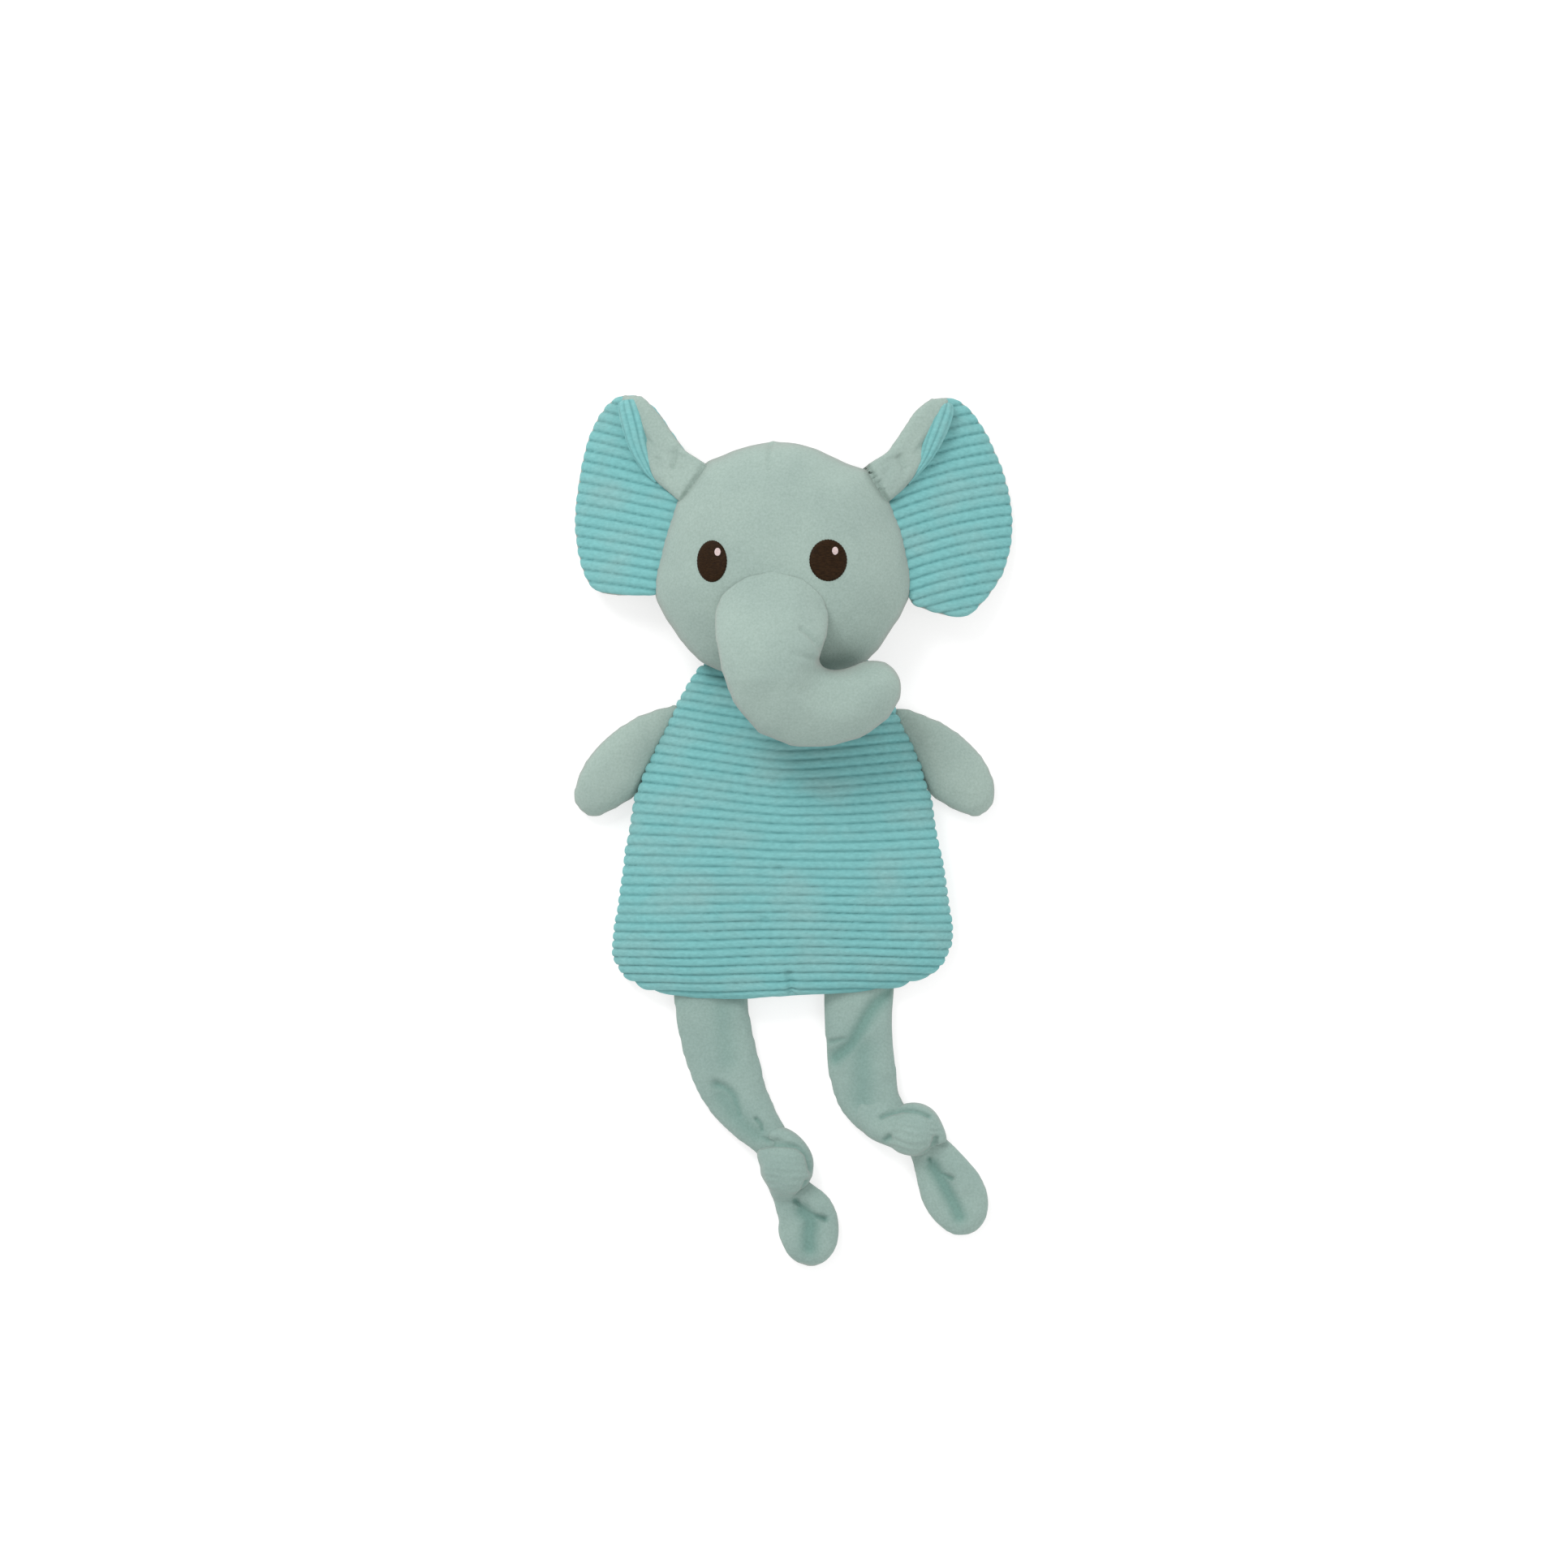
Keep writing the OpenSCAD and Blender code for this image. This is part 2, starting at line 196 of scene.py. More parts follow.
def soften(radii, width):
    """Evens a closed outline out over a few neighbouring directions."""
    offsets = np.arange(-3 * width, 3 * width + 1)
    weights = np.exp(-((offsets / width) ** 2))
    return sum(w * np.roll(radii, k) for w, k in zip(weights / weights.sum(), offsets))


def radius_at(radii, middle, points):
    """Radius of an outline in the direction of each point."""
    angle = np.arctan2(points[:, 1] - middle[1], points[:, 0] - middle[0]) % (2 * math.pi)
    return np.interp(angle, np.append(ANGLES, 2 * math.pi), np.append(radii, radii[0]))


def swell(share):
    """Height of a cushion, from 1 in its middle to 0 at its edge."""
    return (1 - share**2.4) ** 0.6


# Size of a cushion before it is filled, and how far its back is pressed flat where it rests
UNFILLED = 0.985
BACK_BULGE = 1.35
RING_COUNT = 14


def pillow(name, middle, radii, seam, top):
    """Closed cushion over an outline: crowned in front and flat behind, where it rests."""
    shares = np.sin(np.linspace(0, math.pi / 2, RING_COUNT))
    front = [(s, seam + (top - seam) * swell(s)) for s in shares]
    back = [(s, max(0.0, seam - seam * BACK_BULGE * swell(s))) for s in shares[-2::-1]]
    rings = front[1:] + back[:-1]
    ray = np.stack([np.cos(ANGLES), np.sin(ANGLES)], 1) * radii[:, None]
    points = [np.column_stack([middle + ray * s, np.full(len(ray), z)]) for s, z in rings]
    count = len(ANGLES)
    faces = turned(walls(len(rings), count))
    poles = len(rings) * count
    for i in range(count):
        j = (i + 1) % count
        faces.append([i, j, poles])
        faces.append([poles - count + j, poles - count + i, poles + 1])
    points.append([[*middle, front[0][1]], [*middle, back[-1][1]]])
    return make(name, np.concatenate(points), faces)


def reshape(obj, middle, radii):
    """Gives an object the outline that lies at radii from middle."""
    points = points_of(obj)
    own = reach(edges_of(obj), middle)
    scale = radius_at(soften(radii / own, 2), middle, points)
    points[:, :2] = middle + (points[:, :2] - middle) * scale[:, None]
    set_points(obj, points)


def refit(obj, middle, radii, seam, top):
    """Brings a filled cushion back to its outline and height, flat where it rests."""
    reshape(obj, middle, radii)
    points = points_of(obj)
    z = points[:, 2]
    crown = (top - seam) / (z.max() - seam)
    points[:, 2] = np.where(z > seam, seam + (z - seam) * crown, np.maximum(z, 0))
    set_points(obj, points)


def seam_plane(front, back):
    """Point and upward normal of the plane in which two CAD panels are sewn together."""
    a, b = (np.round(points_of(frame["nodes"][n]), 2) for n in (front, back))
    shared = np.array(sorted(set(map(tuple, a)) & set(map(tuple, b))))
    point = shared.mean(0)
    normal = np.linalg.svd(shared - point)[2][2]
    return point, normal * np.sign(normal[2])


def height_over(plane, points):
    return (points - plane[0]) @ plane[1]


def cut(obj, plane, names):
    """Splits a closed skin at the plane of its seam into a front and a back piece."""
    pieces = []
    for name, clear in zip(names, ("clear_inner", "clear_outer")):
        mesh = bmesh.new()
        mesh.from_mesh(obj.data)
        geometry = mesh.verts[:] + mesh.edges[:] + mesh.faces[:]
        plane_now = {"plane_co": plane[0] * MM, "plane_no": plane[1], clear: True}
        bmesh.ops.bisect_plane(mesh, geom=geometry, **plane_now)
        data = bpy.data.meshes.new(name)
        mesh.to_mesh(data)
        mesh.free()
        data.shade_smooth()
        piece = bpy.data.objects.new(name, data)
        SCENE.collection.objects.link(piece)
        pieces.append(piece)
    bpy.data.objects.remove(obj)
    return pieces


# ---- relief ----


def line_distance(points, line):
    """Distance, seen from above, from each point to a chain of points."""
    best = np.full(len(points), 1e9)
    for a, b in chain(line):
        step = b - a
        t = np.clip(((points[:, :2] - a) @ step) / (step @ step), 0, 1)
        gap = points[:, :2] - (a + t[:, None] * step)
        best = np.minimum(best, np.hypot(gap[:, 0], gap[:, 1]))
    return best


def curve(line, parts=6):
    """Smooth curve through the points of a line."""
    p = np.array(line, float)
    p = np.concatenate([[2 * p[0] - p[1]], p, [2 * p[-1] - p[-2]]])
    out = []
    for i in range(1, len(p) - 2):
        for t in np.arange(parts) / parts:
            a, b, c, d = p[i - 1 : i + 3]
            out.append(
                b + (c - a) * t / 2 + (2 * a - 5 * b + 4 * c - d) * t * t / 2
                + (3 * b - a - 3 * c + d) * t**3 / 2
            )
    return np.array(out + [p[-2]])


def crease(points, line, depth, width):
    """How far a fold line draws the surface in. A negative depth is a raised fold."""
    return -depth * np.exp(-((line_distance(points, curve(line)) / width) ** 2))


def creases(points, lines):
    """Several folds together, where the strongest one counts. Each is a line, a depth and a width."""
    amounts = np.array([crease(points, *line) for line in lines])
    return np.minimum(amounts.min(0), 0) + np.maximum(amounts.max(0), 0)


def lumps(points, size, seed):
    """Smooth random value from -1 to 1 that changes over a length of about size."""
    shift = Vector((seed * 7.3, seed * 3.1, seed * 5.7))
    return np.array([noise.noise(Vector(p) / size + shift) for p in points])


def relief(obj, amount):
    """Moves a surface along its normals by an amount for each point."""
    set_points(obj, points_of(obj) + normals_of(obj) * amount[:, None])


def settle(obj, lowest=0.0):
    """Flattens a piece where it rests."""
    points = points_of(obj)
    points[:, 2] = np.maximum(points[:, 2], lowest)
    set_points(obj, points)


def facing_up(obj):
    """1 where a surface faces up or sideways, falling to 0 underneath."""
    return smoothstep(normals_of(obj)[:, 2], -0.1, 0.35)


def mark(obj, name, values):
    """Stores a value at each point, for a material to read."""
    attribute = obj.data.attributes.new(name, "FLOAT", "POINT")
    attribute.data.foreach_set("value", values.astype(np.float32))


# How far the wales of the corduroy stand out
RIB_HEIGHT = 0.9


def ribs(obj, phase, plane):
    """Corduroy: broad rounded wales with narrow grooves, on the front of a skin."""
    share = np.abs((phase % 1) * 2 - 1)
    wale = 1 - share**3.2
    front = smoothstep(height_over(plane, points_of(obj)), -0.4, 0.6)
    relief(obj, RIB_HEIGHT * (wale - 0.75) * front)
    # The wale mark lets the material paint shade into the grooves
    mark(obj, "wale", wale)


# ---- materials ----


def srgb(red, green, blue):
    return [*[(c / 255) ** 2.2 for c in (red, green, blue)], 1]


def material(name):
    mat = bpy.data.materials.new(name)
    mat.use_nodes = True
    return mat, mat.node_tree, mat.node_tree.nodes["Principled BSDF"]


def node(tree, kind, **values):
    made = tree.nodes.new(kind)
    for key, value in values.items():
        setattr(made, key, value)
    return made


def grain(tree, size, detail, stretch=(1, 1, 1)):
    """Noise with features of about size millimetres."""
    place = node(tree, "ShaderNodeTexCoord")
    shape = node(tree, "ShaderNodeMapping")
    shape.inputs["Scale"].default_value = stretch
    cloud = node(tree, "ShaderNodeTexNoise")
    cloud.inputs["Scale"].default_value = 1 / (size * MM)
    cloud.inputs["Detail"].default_value = detail
    tree.links.new(place.outputs["Object"], shape.inputs["Vector"])
    tree.links.new(shape.outputs["Vector"], cloud.inputs["Vector"])
    return cloud.outputs["Fac"]


def ramp(tree, factor, stops):
    made = node(tree, "ShaderNodeValToRGB")
    elements = made.color_ramp.elements
    while len(elements) < len(stops):
        elements.new(0.5)
    for element, (position, colour) in zip(elements, stops):
        element.position = position
        element.color = colour
    tree.links.new(factor, made.inputs["Fac"])
    return made.outputs["Color"]


def mix(tree, kind, factor, a, b):
    made = node(tree, "ShaderNodeMix", data_type="RGBA", blend_type=kind)
    for socket, value in ((0, factor), (6, a), (7, b)):
        if isinstance(value, bpy.types.NodeSocket):
            tree.links.new(value, made.inputs[socket])
        else:
            made.inputs[socket].default_value = value
    return made.outputs[2]


def bump(tree, shader, heights):
    """Stacks bump layers, each a height output with its strength and depth."""
    normal = None
    for height, strength, depth in heights:
        layer = node(tree, "ShaderNodeBump")
        layer.inputs["Strength"].default_value = strength
        layer.inputs["Distance"].default_value = depth * MM
        tree.links.new(height, layer.inputs["Height"])
        if normal is not None:
            tree.links.new(normal, layer.inputs["Normal"])
        normal = layer.outputs["Normal"]
    tree.links.new(normal, shader.inputs["Normal"])


def plush_material(name, light, dark, side):
    """Short velvety pile, with painted shade: greyer where it faces sideways, darker and more teal in a fold.
    """
    mat, tree, shader = material(name)
    mottle = ramp(tree, grain(tree, 24, 2), [(0.3, dark), (0.7, light)])
    pile = grain(tree, 0.9, 4)
    speckle = ramp(tree, pile, [(0.3, srgb(236, 238, 236)), (0.7, srgb(255, 255, 255))])
    colour = mix(tree, "MULTIPLY", 1.0, mottle, speckle)
    # Painted shade: the fold mark draws creases darker and more teal
    fold = node(tree, "ShaderNodeAttribute", attribute_name="fold")
    colour = mix(tree, "MULTIPLY", fold.outputs["Fac"], colour, srgb(208, 230, 227))
    # Painted shade: where the surface faces sideways, its colour turns toward the greyer side colour
    geometry = node(tree, "ShaderNodeNewGeometry")
    split = node(tree, "ShaderNodeSeparateXYZ")
    tree.links.new(geometry.outputs["Normal"], split.inputs["Vector"])
    side_shade = node(tree, "ShaderNodeMapRange", interpolation_type="SMOOTHSTEP")
    side_shade.inputs["From Min"].default_value = 0.05
    side_shade.inputs["From Max"].default_value = 0.6
    side_shade.inputs["To Min"].default_value = 0.85
    side_shade.inputs["To Max"].default_value = 0.0
    tree.links.new(split.outputs["Z"], side_shade.inputs["Value"])
    colour = mix(tree, "MIX", side_shade.outputs["Result"], colour, side)
    tree.links.new(colour, shader.inputs["Base Color"])
    shader.inputs["Roughness"].default_value = 0.95
    shader.inputs["Specular IOR Level"].default_value = 0.15
    shader.inputs["Sheen Weight"].default_value = 0.25
    shader.inputs["Sheen Roughness"].default_value = 0.6
    shader.inputs["Sheen Tint"].default_value = srgb(214, 222, 216)
    bump(tree, shader, [(pile, 0.35, 0.5), (grain(tree, 3.5, 2), 0.3, 0.7)])
    return mat


def corduroy_material(name, crest, groove, pale_tint):
    """Ribbed pile: painted shade darkens the grooves between the wales, with fuzz along them and paler
    patches here and there.
    """
    mat, tree, shader = material(name)
    wale = node(tree, "ShaderNodeAttribute", attribute_name="wale")
    # Painted shade: the grooves between the wales get the darker colour
    stripes = ramp(tree, wale.outputs["Fac"], [(0.1, groove), (0.85, crest)])
    amounts = [(0.42, [0, 0, 0, 1]), (0.75, [0.5, 0.5, 0.5, 1])]
    patches = ramp(tree, grain(tree, 14, 3, (0.6, 1, 1)), amounts)
    # Paler tint in patches scattered by noise
    colour = mix(tree, "MIX", patches, stripes, pale_tint)
    fuzz = grain(tree, 1.0, 4, (0.45, 1, 1))
    speckle = ramp(tree, fuzz, [(0.3, srgb(232, 236, 236)), (0.7, srgb(255, 255, 255))])
    colour = mix(tree, "MULTIPLY", 1.0, colour, speckle)
    tree.links.new(colour, shader.inputs["Base Color"])
    shader.inputs["Roughness"].default_value = 0.9
    shader.inputs["Specular IOR Level"].default_value = 0.15
    shader.inputs["Sheen Weight"].default_value = 0.2
    shader.inputs["Sheen Roughness"].default_value = 0.5
    shader.inputs["Sheen Tint"].default_value = srgb(200, 226, 224)
    bump(tree, shader, [(fuzz, 0.4, 0.5)])
    return mat


def thread_material(name, dark, light):
    """Satin stitch: closely laid shiny threads."""
    mat, tree, shader = material(name)
    strands = grain(tree, 0.45, 3, (0.25, 1, 1))
    tree.links.new(ramp(tree, strands, [(0.35, dark), (0.7, light)]), shader.inputs["Base Color"])
    shader.inputs["Roughness"].default_value = 0.55
    shader.inputs["Specular IOR Level"].default_value = 0.1
    bump(tree, shader, [(strands, 0.5, 0.4)])
    return mat


def fibre_material(name):
    mat, tree, shader = material(name)
    wisps = grain(tree, 1.5, 6, (0.3, 1, 0.6))
    stops = [(0.3, srgb(214, 213, 208)), (0.7, srgb(240, 240, 236))]
    tree.links.new(ramp(tree, wisps, stops), shader.inputs["Base Color"])
    shader.inputs["Roughness"].default_value = 1.0
    bump(tree, shader, [(wisps, 0.8, 1.2)])
    return mat


# Each plush when it faces up: its light and dark tufts, and the greyer colour painted as shade where it faces
# sideways
FACE_PLUSH = (srgb(160, 179, 171), srgb(152, 171, 164), srgb(146, 150, 145))
LEG_PLUSH = (srgb(150, 172, 165), srgb(140, 163, 157), srgb(140, 152, 147))
BACK_PLUSH = (srgb(150, 170, 162), srgb(142, 161, 154), srgb(146, 147, 142))
# The corduroy's wales, its grooves darkened as painted shade, and its paler patches
TURQUOISE = (srgb(124, 185, 185), srgb(98, 154, 155), srgb(146, 178, 175))
# The darkest and lightest threads of each embroidery
BROWN_THREAD = (srgb(38, 26, 14), srgb(54, 38, 22))
PINK_THREAD = (srgb(196, 176, 174), srgb(220, 202, 200))


def make_materials():
    return {
        "plush": plush_material("Plush", *FACE_PLUSH),
        "plush_leg": plush_material("PlushLeg", *LEG_PLUSH),
        "plush_back": plush_material("PlushBack", *BACK_PLUSH),
        "corduroy": corduroy_material("Corduroy", *TURQUOISE),
        "eye_thread": thread_material("EyeThread", *BROWN_THREAD),
        "glint_thread": thread_material("GlintThread", *PINK_THREAD),
        "fibre": fibre_material("Fibre"),
    }


def finish_piece(obj, cloth, nodes, ride=None, blend=None, fill=None, flat=None, rests_on=()):
    """Gives a piece its material, hides its CAD nodes, attaches it to the body that it rides with and bakes a
    blended piece's place into its mesh. What kind of soft piece it is (fill, flat, rests_on) is not used.
    """
    obj.data.shade_smooth()
    obj.data.materials.clear()
    obj.data.materials.append(materials[cloth])
    if nodes:
        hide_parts(*nodes)
    if ride:
        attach(obj, ride)
    if blend:
        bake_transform(obj)
    return obj


def filling(name, source, inset, lump, node_name, shaped=None, **held):
    """Lumpy wad of fibre that fills a skin. A function can shape its points further."""
    obj = bpy.data.objects.new(name, source.data.copy())
    SCENE.collection.objects.link(obj)
    relief(obj, -inset + lump * lumps(points_of(obj), 9, 3))
    points = points_of(obj)
    points[:, 2] = np.maximum(points[:, 2], points_of(source)[:, 2].min() + 1)
    set_points(obj, shaped(points) if shaped else points)
    return finish_piece(obj, "fibre", [node_name], fill=0.6, **held)


# Width and length of each sheet when flat, and how much of that rectangle it covers
EAR_CLOTH = (52, 90, 0.8)
FLAP_CLOTH = (30, 46, 0.7)
ROLL_CLOTH = (10, 46, 0.8)
LEG_CLOTH = (36, 66, 0.9)
FOOT_CLOTH = (28, 40, 0.9)

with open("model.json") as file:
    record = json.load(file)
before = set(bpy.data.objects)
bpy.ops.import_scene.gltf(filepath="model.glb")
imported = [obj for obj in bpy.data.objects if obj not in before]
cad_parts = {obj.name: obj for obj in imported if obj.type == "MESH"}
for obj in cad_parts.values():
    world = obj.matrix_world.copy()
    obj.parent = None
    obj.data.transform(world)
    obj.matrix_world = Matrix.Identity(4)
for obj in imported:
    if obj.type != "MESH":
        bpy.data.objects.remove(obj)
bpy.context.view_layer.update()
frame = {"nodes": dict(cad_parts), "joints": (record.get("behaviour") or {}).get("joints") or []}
materials = make_materials()


def box(name):
    low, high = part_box(name)
    return np.array(low) / MM, np.array(high) / MM


# ---- torso ----

# Points from which the outlines of the torso and the head are measured
TORSO_MIDDLE = np.array([0.0, -12.0])
HEAD_MIDDLE = np.array([0.0, 104.0])
# The torso's top edge, which is tucked under the head from one shoulder to the other
TUCK_LINE = [
    (45.3, 48.6), (40.5, 56), (33.9, 66.6), (24, 71), (0, 73), (-24, 71), (-32.6, 65.6), (-38.5, 56),
    (-41.8, 50.9),
]
# The head's edge over the chest, under the trunk, and over the crown from ear to ear
CHIN_LINE = [
    (-45, 80.6), (-38.4, 71.7), (-31, 64.8), (-16, 59.5), (0, 58), (16, 59.5), (31, 64.8), (38.3, 72),
    (44.4, 82),
]
CROWN_LINE = [
    (-48.5, 110), (-41.8, 130.5), (-31.4, 144.8), (-24.5, 147.6), (-15.6, 151), (-6, 153.1), (4.4, 152.8),
    (13.5, 150), (20.2, 146.8), (26.6, 143.8), (33.5, 142), (42, 130.5), (49.5, 110),
]
# The forehead's dart: a line, a depth and a width
CROWN_DART = ([(-5.2, 152), (-5.4, 148), (-5.8, 142)], 0.9, 0.9)
# Where the folded flap of each ear meets the head: the crease's upper and lower end
EAR_CREASES = {"left": [(-31.4, 145.3), (-41.8, 130.5)], "right": [(34.3, 143.5), (42.2, 130.5)]}
# Height of the torso under the head, and the gap between them
NECK_TOP = 11.0
NECK_GAP = 1.8
# Along the body, where the chest starts to slope down under the head and where it is down
NECK_SLOPE = (50, 62)
# How far along the body the underside of the head is hollow, and over what length that ends
HOLLOW_END = 82
HOLLOW_FADE = 8

# Width of the wale at the hem, where that is, and how much wider each next wale is
HEM_WALE = 3.3
HEM_Y = -70
WALE_GROWTH = 0.0042


def torso_phase(points):
    """Counts wales up the torso. They sag towards the middle of the chest and level out below."""
    x, y = points[:, 0], points[:, 1]
    slope = np.where(x < 0, -0.15, 0.07)
    bend = slope * (np.sqrt(x * x + 64) - 8) * np.sign(x)
    level = y - bend * smoothstep(y, -45, 50) + 0.5 * np.sin(x / 17 + y / 23)
    return np.log(1 + WALE_GROWTH * (level - HEM_Y) / HEM_WALE) / WALE_GROWTH


# How far the filled torso reaches past its CAD panels, and how far its seam is above theirs
HEM_ALLOWANCE = 0.4
FRONT_EDGE_RISE = 0.8
# Small marks in the corduroy: a line, a depth and a width each
HEM_PUCKER = ([(3, -66), (3, -61), (2, -57)], 1.6, 1.6)
CHEST_DIMPLES = [([(-2.2, -15.6), (-1.2, -15.2)], 1.1, 1.6), ([(-8, -35), (-7, -34.8)], 0.9, 1.4)]


def build_torso():
    plane = seam_plane("torso_front", "torso_back")
    seam, top = plane[0][2], box("torso_front")[1][2]
    skin = joined_copy("torso_shape", ["torso_front", "torso_back"])
    radii = np.maximum(reach(edges_of(skin), TORSO_MIDDLE), reach(chain(TUCK_LINE), TORSO_MIDDLE))
    bpy.data.objects.remove(skin)
    radii = soften(radii, 1) + HEM_ALLOWANCE
    skin = remesh(pillow("torso_shape", TORSO_MIDDLE, radii * UNFILLED, seam, top), 4, 3)
    inflate(skin, 4)
    refit(skin, TORSO_MIDDLE, radii, seam, top)
    points = points_of(skin)
    x, y, z = points.T
    # The slope starts sooner at the shoulders and under the trunk
    level = y + 0.004 * x * x + 4 * np.exp(-((x / 16) ** 2))
    highest = top + 6
    ceiling = highest - (highest - NECK_TOP) * smoothstep(level, *NECK_SLOPE)
    points[:, 2] = np.minimum(z, ceiling)
    set_points(skin, points)
    filling("torso_wadding", skin, 3.2, 0.8, "torso_stuffing", ride="torso")
    subdivide(skin, 3)
    points = points_of(skin)
    up = facing_up(skin)
    soft = 0.7 * lumps(points, 26, 1) + 0.35 * lumps(points, 11, 2)
    pucker = crease(points, *HEM_PUCKER)
    dimples = creases(points, CHEST_DIMPLES)
    relief(skin, up * (soft + pucker + dimples))
    ribs(skin, torso_phase(points), plane)
    settle(skin)
    plane = (plane[0] + [0, 0, FRONT_EDGE_RISE], plane[1])
    front, back = cut(skin, plane, ["torso_front_panel", "torso_back_panel"])
    finish_piece(front, "corduroy", ["torso_front"], ride="torso", fill=0.6)
    finish_piece(back, "plush_back", ["torso_back"], ride="torso", fill=0.6)


# ---- head ----


def build_head():
    plane = seam_plane("head_front", "head_back")
    seam, top = plane[0][2], box("head_front")[1][2]
    skin = joined_copy("head_shape", ["head_front", "head_back"])
    radii = reach(edges_of(skin), HEAD_MIDDLE)
    bpy.data.objects.remove(skin)
    for line in (CHIN_LINE, CROWN_LINE):
        limit = reach(chain(line), HEAD_MIDDLE)
        radii = np.where(limit > 0, np.minimum(radii, limit), radii)
    radii = soften(radii, 1)
    skin = remesh(pillow("head_shape", HEAD_MIDDLE, radii * UNFILLED, seam, top), 4, 3)
    inflate(skin, 4)
    refit(skin, HEAD_MIDDLE, radii, seam, top)
    points = points_of(skin)
    x, y, z = points.T
    lowest = (NECK_TOP + NECK_GAP) * smoothstep(HOLLOW_END + 0.1 * np.abs(x) - y, 0, HOLLOW_FADE)
    points[:, 2] = np.maximum(z, lowest)
    set_points(skin, points)
    filling("head_wadding", skin, 3.6, 0.9, "head_stuffing", ride="head")
    subdivide(skin, 2)
    points = points_of(skin)
    up = facing_up(skin)
    soft = 0.5 * lumps(points, 30, 4) + 0.2 * lumps(points, 12, 5)
    dart = crease(points, *CROWN_DART)
    relief(skin, up * (soft + dart))
    bvh = BVHTree.FromObject(skin, bpy.context.evaluated_depsgraph_get())
    front, back = cut(skin, plane, ["head_front_panel", "head_back_panel"])
    finish_piece(front, "plush", ["head_front"], ride="head", fill=0.8)
    finish_piece(back, "plush_back", ["head_back"], ride="head", fill=0.8)
    return bvh


def height_on(bvh, points):
    """Height of the surface under each point, or of its nearest part where there is none under it."""
    down = Vector((0, 0, -1))
    heights = []
    for x, y in points * MM:
        hit = bvh.ray_cast(Vector((x, y, 0.2)), down)[0] or bvh.find_nearest(Vector((x, y, 0.01)))[0]
        heights.append(hit.z / MM)
    return np.array(heights)


def build_eye(name, bvh, node_name, cloth, lift, crown, stitch, size):
    """Embroidered oval that lies on the face, with rows of satin stitch across it."""
    low, high = box(node_name)
    middle = (low + high)[:2] / 2
    half = (high - low)[:2] / 2 * size
    rings, sides = 28, 120
    shares = np.linspace(0, 1, rings + 1)[1:]
    turn = np.arange(sides) * 2 * math.pi / sides
    spots, tops = [middle], [crown]
    for s in shares:
        ragged = 1 + 0.012 * np.sin(turn * 41) * s
        spots += list(middle + np.column_stack([np.cos(turn), np.sin(turn)]) * half * s * ragged[:, None])
        tops += [crown * (1 - s**6) ** 0.5] * sides
    spots, tops = np.array(spots), np.array(tops)
    rows = np.abs(np.sin(spots[:, 1] * math.pi / stitch + 0.25 * np.sin(spots[:, 0] * 2.1)))
    inside = tops / crown
    points = np.column_stack([spots, height_on(bvh, spots) + lift + tops + 0.14 * rows * inside])
    faces = [[0, 1 + i, 1 + (i + 1) % sides] for i in range(sides)]
    faces += [[1 + v for v in face] for face in turned(walls(rings, sides))]
    edge = 1 + (rings - 1) * sides
    under = len(points)
    sunk = points[edge:] - [0, 0, lift + 0.8]
    faces += [[edge + i, under + i, under + (i + 1) % sides, edge + (i + 1) % sides] for i in range(sides)]
    faces.append([under + i for i in range(sides)][::-1])
    eye = make(name, np.concatenate([points, sunk]), faces)
    return finish_piece(eye, cloth, [node_name], ride="head")


def build_eyes(bvh):
    for side in ("left", "right"):
        build_eye(f"eye_{side}_stitching", bvh, f"eye_{side}", "eye_thread", 0.05, 0.8, 0.5, 1.0)
        build_eye(
            f"eye_{side}_glint_stitching", bvh, f"eye_{side}_glint", "glint_thread", 0.85, 0.35, 0.45, 0.82
        )


# ---- trunk ----

# The arched seam that joins the trunk to the face, and where the trunk starts to slope down to it
ARCH_MIDDLE = (-4.9, 84)
ARCH_RADII = (23.4, 18.8)
TRUNK_CROWN_Y = 59
# How far the underside of the trunk's root reaches into the head
ROOT_DEPTH = 11
# Point at which the trunk's wad of fibre ends
WAD_END = np.array([-5.0, 72.0, 57.0])
# Points across the trunk's root, from the head's side to the trunk's, given with the trunk's pieces as their
# blend
TRUNK_BEND = ((-4.5, 96, 42), (-4.5, 80, 54))
# Folds of the trunk, as the arguments of creases()
TRUNK_CREASES = [
    ([(7, 78.8), (10, 76.5), (12.5, 73.5)], 1.2, 0.9),
    ([(12.5, 73.5), (15.5, 70)], 0.8, 1.4),
    ([(4, 68.8), (9, 67.4), (14, 66.4)], 0.7, 1.4),
]


def on_face(points, face):
    """Lets the trunk's root rise gently out of the face, below the arch of its seam."""
    x, y, z = points.T
    width = np.clip((x - ARCH_MIDDLE[0]) / ARCH_RADII[0], -0.98, 0.98)
    arch = ARCH_MIDDLE[1] + ARCH_RADII[1] * np.sqrt(1 - width**2)
    share = np.clip((y - TRUNK_CROWN_Y) / (arch - TRUNK_CROWN_Y), 0, 1)
    dip = 1 - 0.5 * smoothstep(x, 3, 18) * smoothstep(y, 76, 92)
    flatness = (1 - share) * (1 + 0.6 * share) * dip
    under = height_on(face, points[:, :2]) - 0.5 * smoothstep(share, 0.94, 1)
    return np.column_stack([x, y, np.where(share > 0, under + (z - under) * flatness, z)])


def round_off(points):
    """Rounds off the wad in the trunk's root, so that it stays inside when the trunk lifts."""
    return points + (WAD_END - points) * 0.85 * smoothstep(points[:, 1:2], 60, 82)


